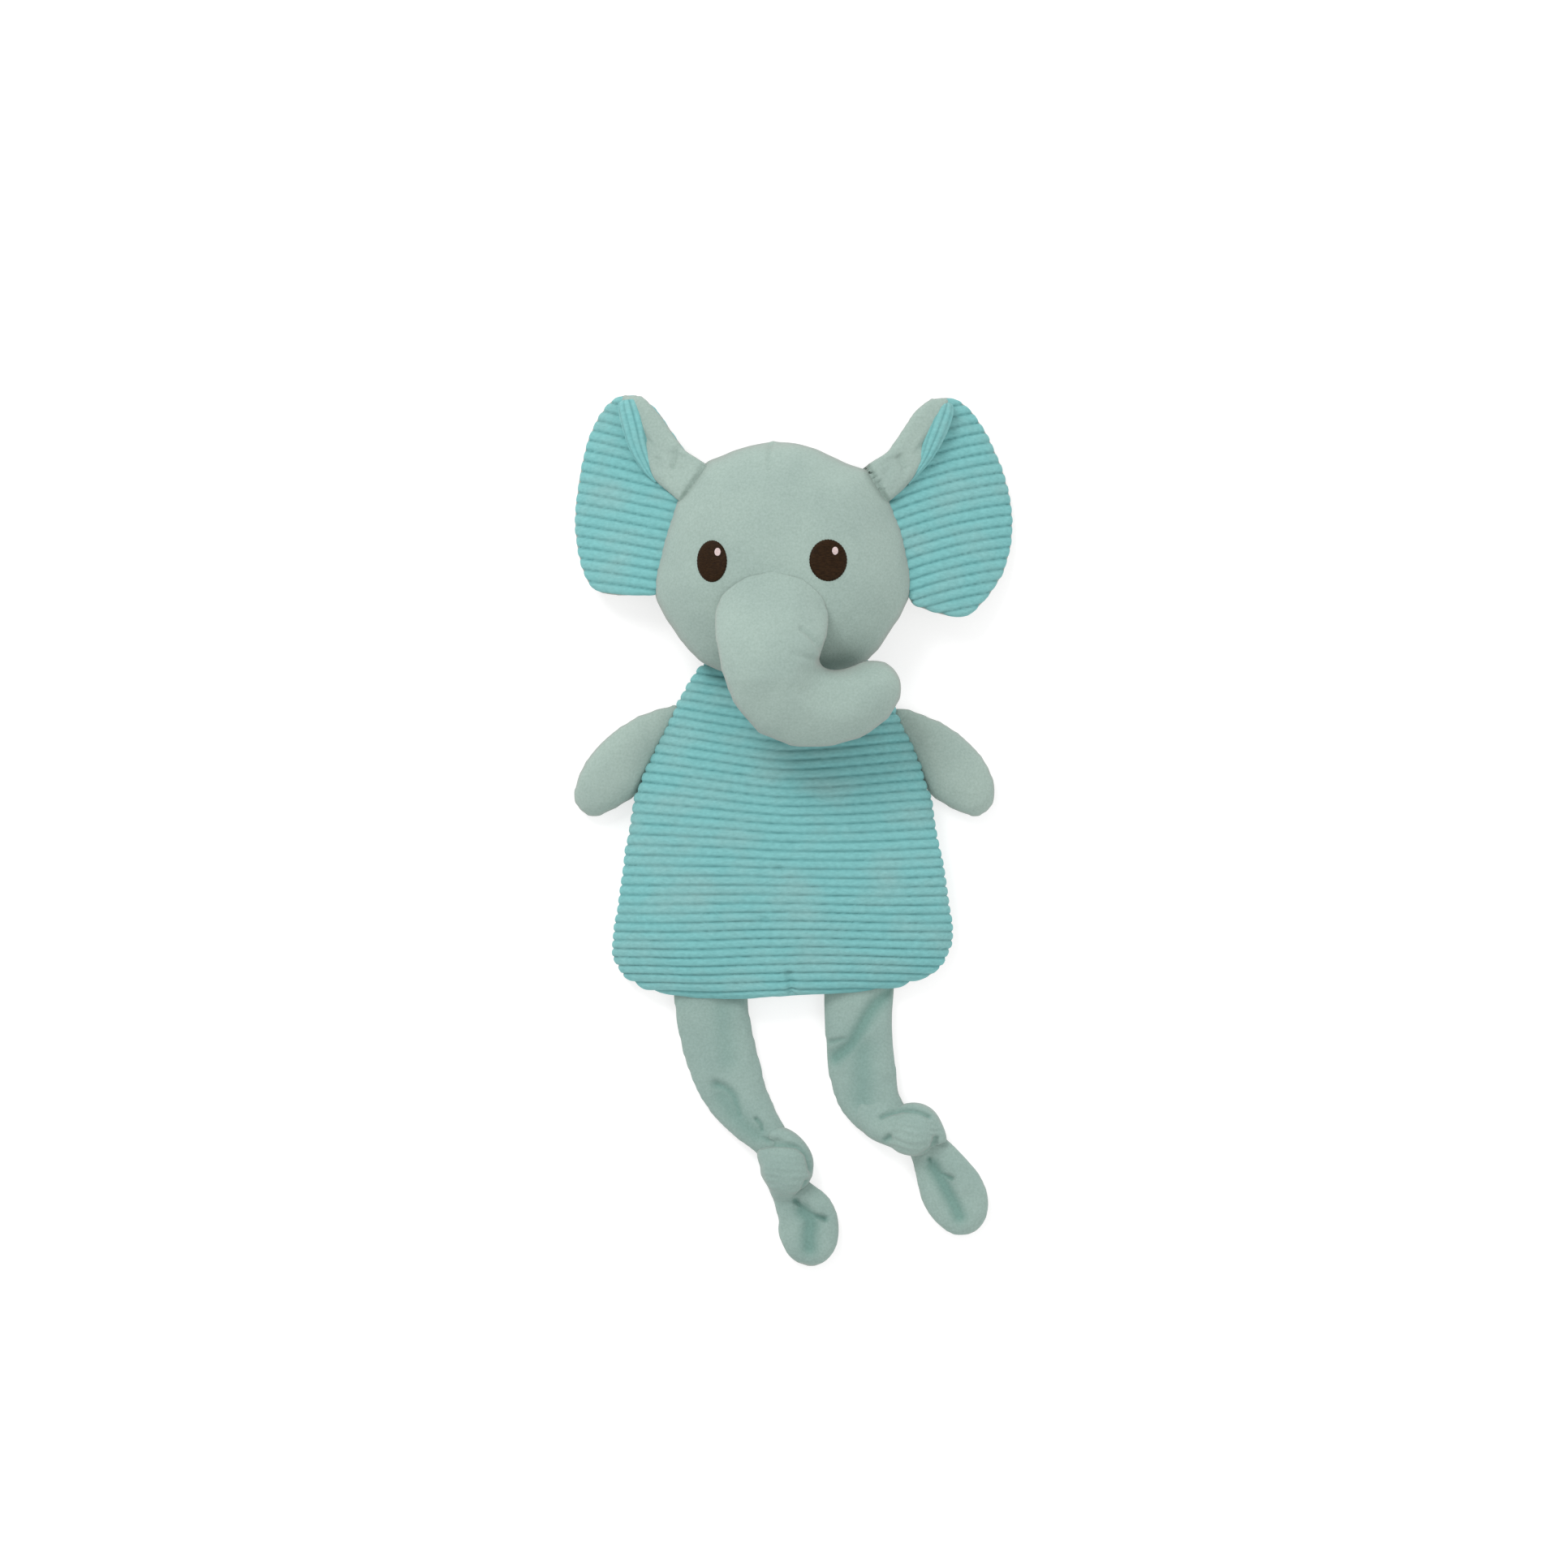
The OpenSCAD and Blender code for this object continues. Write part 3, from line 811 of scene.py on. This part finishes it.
def build_trunk(face):
    nodes = ["trunk_front", "trunk_back"]
    skin = remesh(joined_copy("trunk_shape", nodes + ["trunk_stuffing"]), 2.4, 6)
    plane = seam_plane(*nodes)
    inflate(skin, 2)
    relief(skin, np.full(len(skin.data.vertices), 0.5))
    underside = smoothstep(-normals_of(skin)[:, 2], 0.1, 0.6)
    points = on_face(points_of(skin), face)
    points[:, 2] -= ROOT_DEPTH * underside * smoothstep(points[:, 1], 66, 80)
    set_points(skin, points)
    held = {"blend": ("head", "trunk", *TRUNK_BEND)}
    filling("trunk_wadding", skin, 3.2, 0.5, "trunk_stuffing", shaped=round_off, **held)
    subdivide(skin, 2)
    points = points_of(skin)
    soft = 0.4 * lumps(points, 18, 6)
    relief(skin, facing_up(skin) * (soft + creases(points, TRUNK_CREASES)))
    front, back = cut(skin, plane, ["trunk_front_panel", "trunk_back_panel"])
    finish_piece(front, "plush", ["trunk_front"], fill=0.8, **held)
    finish_piece(back, "plush", ["trunk_back"], fill=0.8, **held)


# ---- ears ----


def left_ear_phase(points):
    x, y = points[:, 0] + 65, points[:, 1]
    return (y + 0.2 * x + 0.0012 * x * x + 0.002 * x * (y - 125)) / 4.2


def right_ear_phase(points):
    x, y = points[:, 0] - 48, points[:, 1]
    return (y - 0.36 * x + 0.003 * x * x) / 4.25


def toward_joint(points, joint, goal):
    """How far each point is outside a joint's axis, seen from above, on the side away from goal.

    The direction outward and the joint's own place come with it."""
    axis = np.array(joint["axis"][:2])
    pivot = np.array(joint["pos_m"][:2]) / MM
    outward = np.array([axis[1], -axis[0]])
    outward *= -np.sign(outward @ (goal - pivot))
    return (points[:, :2] - pivot) @ outward, outward, pivot


def joint_named(name):
    return next(j for j in frame["joints"] if j["name"] == name)


def tuck(obj, joint, goal, plane, depth, span):
    """Stretches the root of a flap toward goal, in its own plane, under the piece that it is sewn to."""
    points = points_of(obj)
    beyond = toward_joint(points, joint, goal)[0]
    inward = goal - points[:, :2]
    inward /= np.linalg.norm(inward, axis=1, keepdims=True)
    rise = -(inward @ plane[1][:2]) / plane[1][2]
    amount = depth * (1 - smoothstep(beyond, 0, span))
    points += np.column_stack([inward, rise]) * amount[:, None]
    set_points(obj, points)


def across_joint(joint, goal, before, after):
    """Points just before and after a joint's axis."""
    _, outward, pivot = toward_joint(np.zeros((1, 2)), joint, goal)
    height = joint["pos_m"][2] / MM
    return [*(pivot - outward * before), height], [*(pivot + outward * after), height]


# How far the edge of the corduroy is in front of the CAD panels' seam
EAR_EDGE_RISE = 0.5


def build_ear(side, phase):
    nodes = [f"ear_{side}_front", f"ear_{side}_back"]
    joint = joint_named(f"ear_{side}_lift")
    skin = remesh(joined_copy(f"ear_{side}_shape", nodes), 1.3, 4)
    plane = seam_plane(*nodes)
    inflate(skin, 0.7)
    tuck(skin, joint, HEAD_MIDDLE, plane, 8, 12)
    subdivide(skin, 1)
    points = points_of(skin)
    relief(skin, 0.35 * lumps(points, 16, 7))
    ribs(skin, phase(points), plane)
    settle(skin)
    start, end = across_joint(joint, HEAD_MIDDLE, 4, 5)
    held = {"blend": ("head", f"ear_{side}", start, end)}
    plane = (plane[0] + plane[1] * EAR_EDGE_RISE, plane[1])
    front, back = cut(skin, plane, [f"ear_{side}_front_panel", f"ear_{side}_back_panel"])
    finish_piece(front, "corduroy", nodes[:1], flat=EAR_CLOTH, rests_on=[back.name], **held)
    finish_piece(back, "plush_back", nodes[1:], flat=EAR_CLOTH, rests_on=["head_back_panel"], **held)
    return plane, BVHTree.FromObject(front, bpy.context.evaluated_depsgraph_get()), held


# How far a flap passes below the surface of the head
FLAP_DEPTH = 1


def under_head(points, side, face):
    """Leads a flap of an ear down under the edge of the head, at the crease where they meet."""
    high, low = np.array(EAR_CREASES[side])
    along = (low - high) / np.linalg.norm(low - high)
    inward = np.array([-along[1], along[0]])
    inward *= np.sign(inward @ (HEAD_MIDDLE - high))
    past = (points[:, :2] - high) @ inward
    ceiling = height_on(face, points[:, :2]) - FLAP_DEPTH
    lowered = points.copy()
    lowered[:, 2] -= np.maximum(points[:, 2] - ceiling, 0) * smoothstep(past, 0.3, 3.2)
    return lowered


# Middle of each ear's plush flap, and its outline from the tip of its free edge round to the head
# and back
FLAP_MIDDLES = {"left": (-49, 150), "right": (50, 148)}
FLAP_LINES = {
    "left": [
        (-65, 171.6), (-55.5, 171.3), (-47.8, 162.4), (-42.8, 154.8), (-38.8, 149.4), (-31.5, 144.6),
        (-26.5, 142), (-31, 133), (-40, 127.5), (-42, 130.3), (-45, 132.7), (-50.6, 137.5), (-54, 143),
        (-57.5, 151), (-60, 160),
    ],
    "right": [
        (66, 170.4), (58, 170.2), (51.8, 165.2), (46.6, 157.2), (40.8, 148.6), (33, 143.8),
        (28.5, 141), (32, 133), (40.5, 127.5), (42.6, 130.3), (46, 132.8), (49.3, 136.3), (55, 144),
        (58.8, 151.5), (62.2, 160),
    ],
}
# Folds of each flap, as the arguments of creases()
FLAP_CREASES = {
    "left": [
        ([(-42.3, 150), (-42.6, 146.5), (-43.6, 142.5)], 1.3, 0.9),
        ([(-49.5, 146), (-48.8, 143)], 0.7, 1.0),
    ],
    "right": [
        ([(45.5, 146.5), (47.5, 142.5)], 1.1, 1.1),
        ([(40, 141), (42.5, 134)], 0.6, 1.4),
    ],
}
# Middle line of the corduroy roll at each flap's free edge: x, y and the roll's width
ROLL_LINES = {
    "left": [
        (-61.6, 170.2, 3.4), (-61.1, 168.2, 8.2), (-58.9, 159.8, 9.3), (-56.5, 150.3, 7.6),
        (-53.1, 142.3, 4.6), (-50.2, 137, 0.9),
    ],
    "right": [
        (64, 168.8, 3), (63.5, 166.8, 7.6), (61.1, 160, 8.8), (58, 152, 7.4), (55, 145.2, 4.6),
        (49, 136.2, 0.9),
    ],
}


def build_fold(side, plane, bvh, held, face):
    """The ear's upper edge folded forward: a plush flap that ends in a roll of corduroy."""
    fold_node = f"ear_{side}_fold"
    flap = remesh(joined_copy(f"ear_{side}_flap", [fold_node]), 1.0, 3)
    relief(flap, np.full(len(flap.data.vertices), 1.3))
    tuck(flap, joint_named(f"ear_{side}_lift"), HEAD_MIDDLE, plane, 9, 14)
    line = FLAP_LINES[side]
    reshape(flap, FLAP_MIDDLES[side], soften(reach(chain(line + line[:1]), FLAP_MIDDLES[side]), 1))
    subdivide(flap, 1)
    points = points_of(flap)
    relief(flap, facing_up(flap) * (0.3 * lumps(points, 9, 8) + creases(points, FLAP_CREASES[side])))
    set_points(flap, under_head(points_of(flap), side, face))
    finish_piece(flap, "plush", [fold_node], flat=FLAP_CLOTH, rests_on=[f"ear_{side}_front_panel"], **held)
    roll = roll_band(f"ear_{side}_roll", bvh, ROLL_LINES[side])
    finish_piece(roll, "corduroy", [], flat=ROLL_CLOTH, rests_on=[flap.name], **held)


# Wales round a roll
ROLL_WALES = 9


def roll_band(name, bvh, line):
    """Tapered roll along a line of points that each hold x, y and the roll's width there."""
    rows = curve(line, 16)
    columns = 40
    step = np.gradient(rows[:, :2], axis=0)
    step /= np.linalg.norm(step, axis=1, keepdims=True)
    left = np.column_stack([-step[:, 1], step[:, 0]])
    turn = np.arange(columns) * 2 * math.pi / columns
    base = height_on(bvh, rows[:, :2])
    base = np.convolve(np.pad(base, 6, "edge"), np.ones(13) / 13, "valid")
    rise = 0.8 + rows[:, 2] * 0.3
    lengthwise = 1 - np.abs((turn / (2 * math.pi) * ROLL_WALES % 1) * 2 - 1) ** 3
    size = 1 + 0.16 * (lengthwise - 0.7)
    points = []
    for k, row in enumerate(rows):
        across = np.cos(turn) * size * row[2] / 2
        up = np.sin(turn) * size * rise[k]
        points.append(np.column_stack([row[:2] + left[k] * across[:, None], base[k] + rise[k] * 0.75 + up]))
    obj = make(name, np.concatenate(points), closed_tube(len(rows), columns))
    # The wale mark lets the material paint shade into the grooves
    mark(obj, "wale", np.tile(lengthwise, len(rows)))
    return obj


def build_ears(face):
    for side, phase in (("left", left_ear_phase), ("right", right_ear_phase)):
        build_fold(side, *build_ear(side, phase), face)


# ---- arms ----

# The arms' roots point to here, in the torso
ARM_GOAL = np.array([0.0, 55.0])


def build_arm(side):
    nodes = [f"arm_{side}_front", f"arm_{side}_back"]
    joint = joint_named(f"shoulder_{side}")
    skin = remesh(joined_copy(f"arm_{side}_shape", nodes + [f"arm_{side}_stuffing"]), 2.2, 4)
    plane = seam_plane(*nodes)
    inflate(skin, 1.2)
    relief(skin, np.full(len(skin.data.vertices), 1.3))
    tuck(skin, joint, ARM_GOAL, plane, 4, 9)
    settle(skin)
    start, end = across_joint(joint, ARM_GOAL, 2, 7)
    held = {"blend": ("torso", f"arm_{side}", start, end)}
    filling(f"arm_{side}_wadding", skin, 2.2, 0.4, f"arm_{side}_stuffing", **held)
    subdivide(skin, 2)
    points = points_of(skin)
    relief(skin, facing_up(skin) * (0.4 * lumps(points, 15, 9)))
    front, back = cut(skin, plane, [f"arm_{side}_front_panel", f"arm_{side}_back_panel"])
    finish_piece(front, "plush", nodes[:1], fill=0.6, **held)
    finish_piece(back, "plush_back", nodes[1:], fill=0.6, **held)


# ---- legs, knots and feet ----

# Rows along each limb: x and y of its middle line, half its width and its height
LEG_ROWS = {
    "left": [
        (-29, -60, 15, 9), (-28.6, -66, 15, 9), (-27.2, -76, 15, 9), (-24.6, -88, 15, 9),
        (-19.2, -103, 13.4, 9), (-12, -114, 10.8, 9.5), (-6, -121.5, 8.2, 10), (-2.5, -127, 7, 10),
    ],
    "right": [
        (29.8, -58, 14.2, 9), (29.8, -66, 14.2, 9), (30, -82, 13.9, 9), (31.1, -94, 14, 9),
        (34, -105, 13, 9), (39.6, -113, 10.6, 9.5), (46.5, -118.5, 8.2, 10),
    ],
}
# Folds of each limb and knot, as the arguments of creases()
LEG_CREASES = {
    "left": [
        ([(-26.5, -100.6), (-23, -102), (-20, -104.7), (-18.6, -108.5), (-17.6, -112.5)], 1.7, 2.0),
        ([(-10.8, -114), (-9, -116), (-8.5, -118.3)], 1.7, 1.1),
        ([(-6, -122.5), (-8.4, -121.4)], 1.2, 1.4),
        ([(-24, -105), (-17.5, -114.5), (-10.5, -120)], 1.3, 4.0),
        ([(-24, -70), (-23.5, -80), (-22, -90)], 0.8, 4.5),
    ],
    "right": [
        ([(43.7, -63.3), (37.7, -67.5), (33.9, -72.3), (30.2, -78.4), (26.4, -84.5), (20, -89.7)], 2.2, 3.0),
        ([(18.1, -83.6), (24.1, -82.5)], 1.2, 1.1),
        ([(31, -86), (31.2, -96), (31, -106)], 1.2, 5.0),
    ],
}
FOOT_ROWS = {
    "left": [
        (-1, -133, 7, 9), (0.8, -139, 7, 9), (4.6, -145.5, 9.2, 9), (8.6, -152, 12, 9),
        (10.2, -159.5, 12.1, 9), (10.8, -166.5, 9.6, 8.5), (11.1, -170.4, 6, 7), (11.2, -172.4, 1.6, 4),
    ],
    "right": [
        (54.5, -121.5, 7, 9), (58.7, -128, 8.6, 9), (62.3, -134.5, 10.8, 9), (65.8, -141, 12.6, 9),
        (69.6, -147.8, 12.2, 9), (72.8, -153.6, 9.6, 8.5), (74.9, -156.8, 6, 7), (76, -158.4, 1.6, 4),
    ],
}
FOOT_CREASES = {
    "left": [
        ([(7.8, -150), (10.6, -154), (10, -160), (10.2, -164.8)], 2.3, 3.4),
        ([(4.8, -146.4), (8.2, -149.5), (12, -151.9), (16.4, -153.4)], 2.4, 1.3),
        ([(8.5, -144.5), (13.5, -148.4)], -0.9, 3.0),
    ],
    "right": [
        ([(58.8, -132.5), (63, -139.4), (67.2, -147.5), (69.4, -152.5)], 2.3, 2.9),
        ([(57.5, -130), (59.4, -134.4), (63.4, -136.2), (66.4, -137.4)], 2.2, 1.2),
        ([(66, -131), (71, -140)], -0.8, 3.5),
    ],
}
# Each knot's wrap: its middle, its half widths across and along, and the direction across it
WRAPS = {
    "left": ((0.9, -133.2), 10.2, 11, (0.96, 0.27)),
    "right": ((51, -119.3), 10.2, 9.3, (0.98, -0.2)),
}
# The strands of each knot: the one that shows behind its wrap, and the one that leads on into the limb
STRANDS = {
    "left": [
        [
            (-6, -120.5, 2.5, 11), (-0.6, -120.4, 3.2, 13), (4.2, -124.4, 4, 14), (7.6, -130.4, 4.2, 13.5),
            (8.6, -137, 3, 11.5),
        ],
        [
            (-3.6, -124, 7, 12.5), (-2.5, -128, 8, 15), (-0.2, -136, 7, 14.5), (1.2, -142, 6.6, 12.5),
            (2.2, -146, 5.4, 9), (2.8, -148.5, 3.6, 6.5),
        ],
    ],
    "right": [
        [
            (43.5, -112.8, 2.2, 11), (48.5, -110.9, 3, 13.5), (53.3, -111.1, 3.4, 14.5),
            (57.2, -113.6, 3.6, 14), (60, -119, 3.6, 13), (62, -124, 3, 11),
        ],
        [
            (50.5, -119, 8, 15), (43.6, -117.9, 7.3, 14.5), (38, -114.2, 8.4, 12), (34.6, -107.5, 9, 9.2),
            (32.6, -101, 7, 6),
        ],
    ],
}
KNOT_CREASES = {
    "left": [
        ([(9.7, -138.9), (8, -142.6), (4.7, -146.2)], 1.6, 1.3),
        ([(-8.5, -124.4), (-2.5, -123.6), (5.2, -124.6), (9.4, -128.2), (11, -134)], 1.3, 1.0),
    ],
    "right": [
        ([(38.5, -113.1), (42.2, -111.4), (46.8, -110.3), (52.8, -110.9), (57.5, -112.8)], 1.3, 1.0),
        ([(41.5, -121), (40.2, -122.2)], 1.6, 1.3),
        ([(60.3, -121.5), (58.6, -125.6), (54, -129)], 1.1, 1.1),
    ],
}
# How squarely a wrap ends at its two sides, and the height of its wrinkles
KNOT_POWER = 2.5
KNOT_WRINKLE = 0.24


def tube(rows, parts=6, sides=40, firmness=0.75):
    """Points and faces of a closed tube that lies on the floor, along rows of x, y, half width and height."""
    rows = curve(rows, parts)
    step = np.gradient(rows[:, :2], axis=0)
    step /= np.linalg.norm(step, axis=1, keepdims=True)
    left = np.column_stack([-step[:, 1], step[:, 0]])
    turn = np.arange(sides) * 2 * math.pi / sides
    across, up = np.cos(turn), np.sign(np.sin(turn)) * np.abs(np.sin(turn)) ** firmness
    points = []
    for row, side in zip(rows, left):
        spots = row[:2] + side * (across * row[2])[:, None]
        points.append(np.column_stack([spots, row[3] / 2 * (1 + up)]))
    return np.concatenate(points), closed_tube(len(rows), sides)


def build_limb(part, side, rows, voxel, folds, held, flat, rests_on):
    """Unstuffed tube of plush in two layers, with its folds."""
    nodes = [f"{part}_{side}_front", f"{part}_{side}_back"]
    skin = remesh(make(f"{part}_{side}_shape", *tube(rows)), voxel, 3)
    plane = seam_plane(*nodes)
    inflate(skin, 0.7)
    subdivide(skin, 2)
    points = points_of(skin)
    up = facing_up(skin)
    depth = creases(points, folds)
    relief(skin, up * (0.6 * lumps(points, 12, 10) + 0.25 * lumps(points, 5, 11) + depth))
    # Marks the deepest folds, where the material paints shade darker and more teal
    mark(skin, "fold", np.clip(-depth / 2, 0, 1) * up)
    settle(skin)
    front, back = cut(skin, plane, [f"{part}_{side}_front_panel", f"{part}_{side}_back_panel"])
    finish_piece(front, "plush_leg", nodes[:1], flat=flat, rests_on=[back.name], **held)
    finish_piece(back, "plush_back", nodes[1:], flat=flat, rests_on=rests_on, **held)


def build_knot(side):
    """The limb tied round itself: a broad wrap in front of two strands."""
    top = box(f"knot_{side}")[1][2]
    middle, half_across, half_along, across = WRAPS[side]
    across = np.array(across) / np.linalg.norm(across)
    wrap_rows = []
    for t in np.linspace(-1, 1, 13):
        share = (1 - abs(t) ** KNOT_POWER) ** 0.5
        spot = middle + across * t * half_across
        wrap_rows.append((*spot, max(1, half_along * share), top * (0.42 + 0.46 * share)))
    points, faces = tube(wrap_rows, 2, firmness=0.85)
    for rows in STRANDS[side]:
        strand, strand_faces = tube(rows)
        faces += [[v + len(points) for v in face] for face in strand_faces]
        points = np.concatenate([points, strand])
    knot = remesh(make(f"knot_{side}_wrap", points, faces), 0.8, 6)
    subdivide(knot, 1)
    points = points_of(knot)
    up = facing_up(knot)
    depth = creases(points, KNOT_CREASES[side])
    level = points[:, 1] + 0.1 * points[:, 0]
    waves = np.sin(level * 2.3 + 4 * lumps(points, 9, 12))
    wrinkles = KNOT_WRINKLE * waves * (0.5 + 0.9 * lumps(points, 7, 13))
    off_middle = np.linalg.norm(points[:, :2] - middle, axis=1)
    wrinkles *= 1 - smoothstep(off_middle, 0.7 * half_across, 1.3 * half_across)
    relief(knot, up * (wrinkles + 0.4 * lumps(points, 8, 14) + depth))
    # Marks the deepest folds, where the material paints shade darker and more teal
    mark(knot, "fold", np.clip(-depth / 2, 0, 1) * up)
    settle(knot)
    finish_piece(knot, "plush_leg", [f"knot_{side}"], ride=f"knot_{side}", fill=0.3)


# Where each leg leaves the torso, and where each foot leaves its knot
HIPS_AND_NECKS = (("left", (-29, -66), (3, -143.2)), ("right", (30, -66), (57.8, -128.2)))
# Height of the points across each hip and each foot's root
LIMB_LEVEL = 9


def build_legs():
    for side, hip, neck in HIPS_AND_NECKS:
        x, y = hip
        held = {"blend": ("torso", f"leg_{side}", (x, y + 3, LIMB_LEVEL), (x, y - 9, LIMB_LEVEL))}
        build_limb("leg", side, LEG_ROWS[side], 1.8, LEG_CREASES[side], held, LEG_CLOTH, ["torso_back_panel"])
        along = np.array(neck) - (sum(box(f"knot_{side}")) / 2)[:2]
        along /= np.linalg.norm(along)
        build_knot(side)
        start, end = np.array(neck) - 4 * along, np.array(neck) + 5 * along
        held = {"blend": (f"knot_{side}", f"foot_{side}", (*start, LIMB_LEVEL), (*end, LIMB_LEVEL))}
        build_limb(
            "foot", side, FOOT_ROWS[side], 1.4, FOOT_CREASES[side], held, FOOT_CLOTH, [f"knot_{side}_wrap"]
        )


# ---- set ----

CAMERA_HEIGHT = 4.0
# World point in the middle of the picture, and the width of the picture at the toy's side seams
VIEW_MIDDLE = (0.2, 18.2)
VIEW_WIDTH = 618.2
VIEW_LEVEL = 12.0
# Width of the camera's sensor, and half the width of the floor
SENSOR = 36
FLOOR_HALF = 2500
# Name, place, size and power of each lamp, in metres and watts, and how bright the sky is
LAMPS = (("Key", (-0.9, 1.5, 1.7), 0.9, 26), ("Fill", (1.3, -0.6, 1.6), 1.4, 6))
SKY_STRENGTH = 0.78


def build_set():
    corners = [(-FLOOR_HALF, -FLOOR_HALF, 0), (FLOOR_HALF, -FLOOR_HALF, 0)]
    corners += [(FLOOR_HALF, FLOOR_HALF, 0), (-FLOOR_HALF, FLOOR_HALF, 0)]
    floor = make("floor", corners, [[0, 1, 2, 3]])
    mat, tree, shader = material("Floor")
    shade = ramp(tree, grain(tree, 60, 2), [(0.3, srgb(184, 184, 184)), (0.7, srgb(188, 188, 188))])
    tree.links.new(shade, shader.inputs["Base Color"])
    shader.inputs["Roughness"].default_value = 0.9
    shader.inputs["Emission Color"].default_value = (1, 1, 1, 1)
    shader.inputs["Emission Strength"].default_value = 0.6
    floor.data.materials.append(mat)
    world = bpy.data.worlds.new("Studio")
    world.use_nodes = True
    sky = world.node_tree.nodes["Background"]
    sky.inputs["Color"].default_value = (1, 1, 1, 1)
    sky.inputs["Strength"].default_value = SKY_STRENGTH
    SCENE.world = world
    for name, place, size, power in LAMPS:
        light = bpy.data.lights.new(name, "AREA")
        light.size = size
        light.energy = power
        lamp = bpy.data.objects.new(name, light)
        lamp.location = place
        aim = Vector((0, 0.02, 0)) - Vector(place)
        lamp.rotation_euler = aim.to_track_quat("-Z", "Y").to_euler()
        SCENE.collection.objects.link(lamp)
    camera = bpy.data.cameras.new("Camera")
    camera.sensor_width = SENSOR
    camera.lens = SENSOR * (CAMERA_HEIGHT - VIEW_LEVEL * MM) / (VIEW_WIDTH * MM)
    camera.clip_end = 20
    eye = bpy.data.objects.new("Camera", camera)
    eye.location = (VIEW_MIDDLE[0] * MM, VIEW_MIDDLE[1] * MM, CAMERA_HEIGHT)
    SCENE.collection.objects.link(eye)
    SCENE.camera = eye
    SCENE.view_settings.view_transform = "Standard"


build_set()
build_torso()
face = build_head()
build_eyes(face)
build_trunk(face)
build_ears(face)
build_arm("left")
build_arm("right")
build_legs()
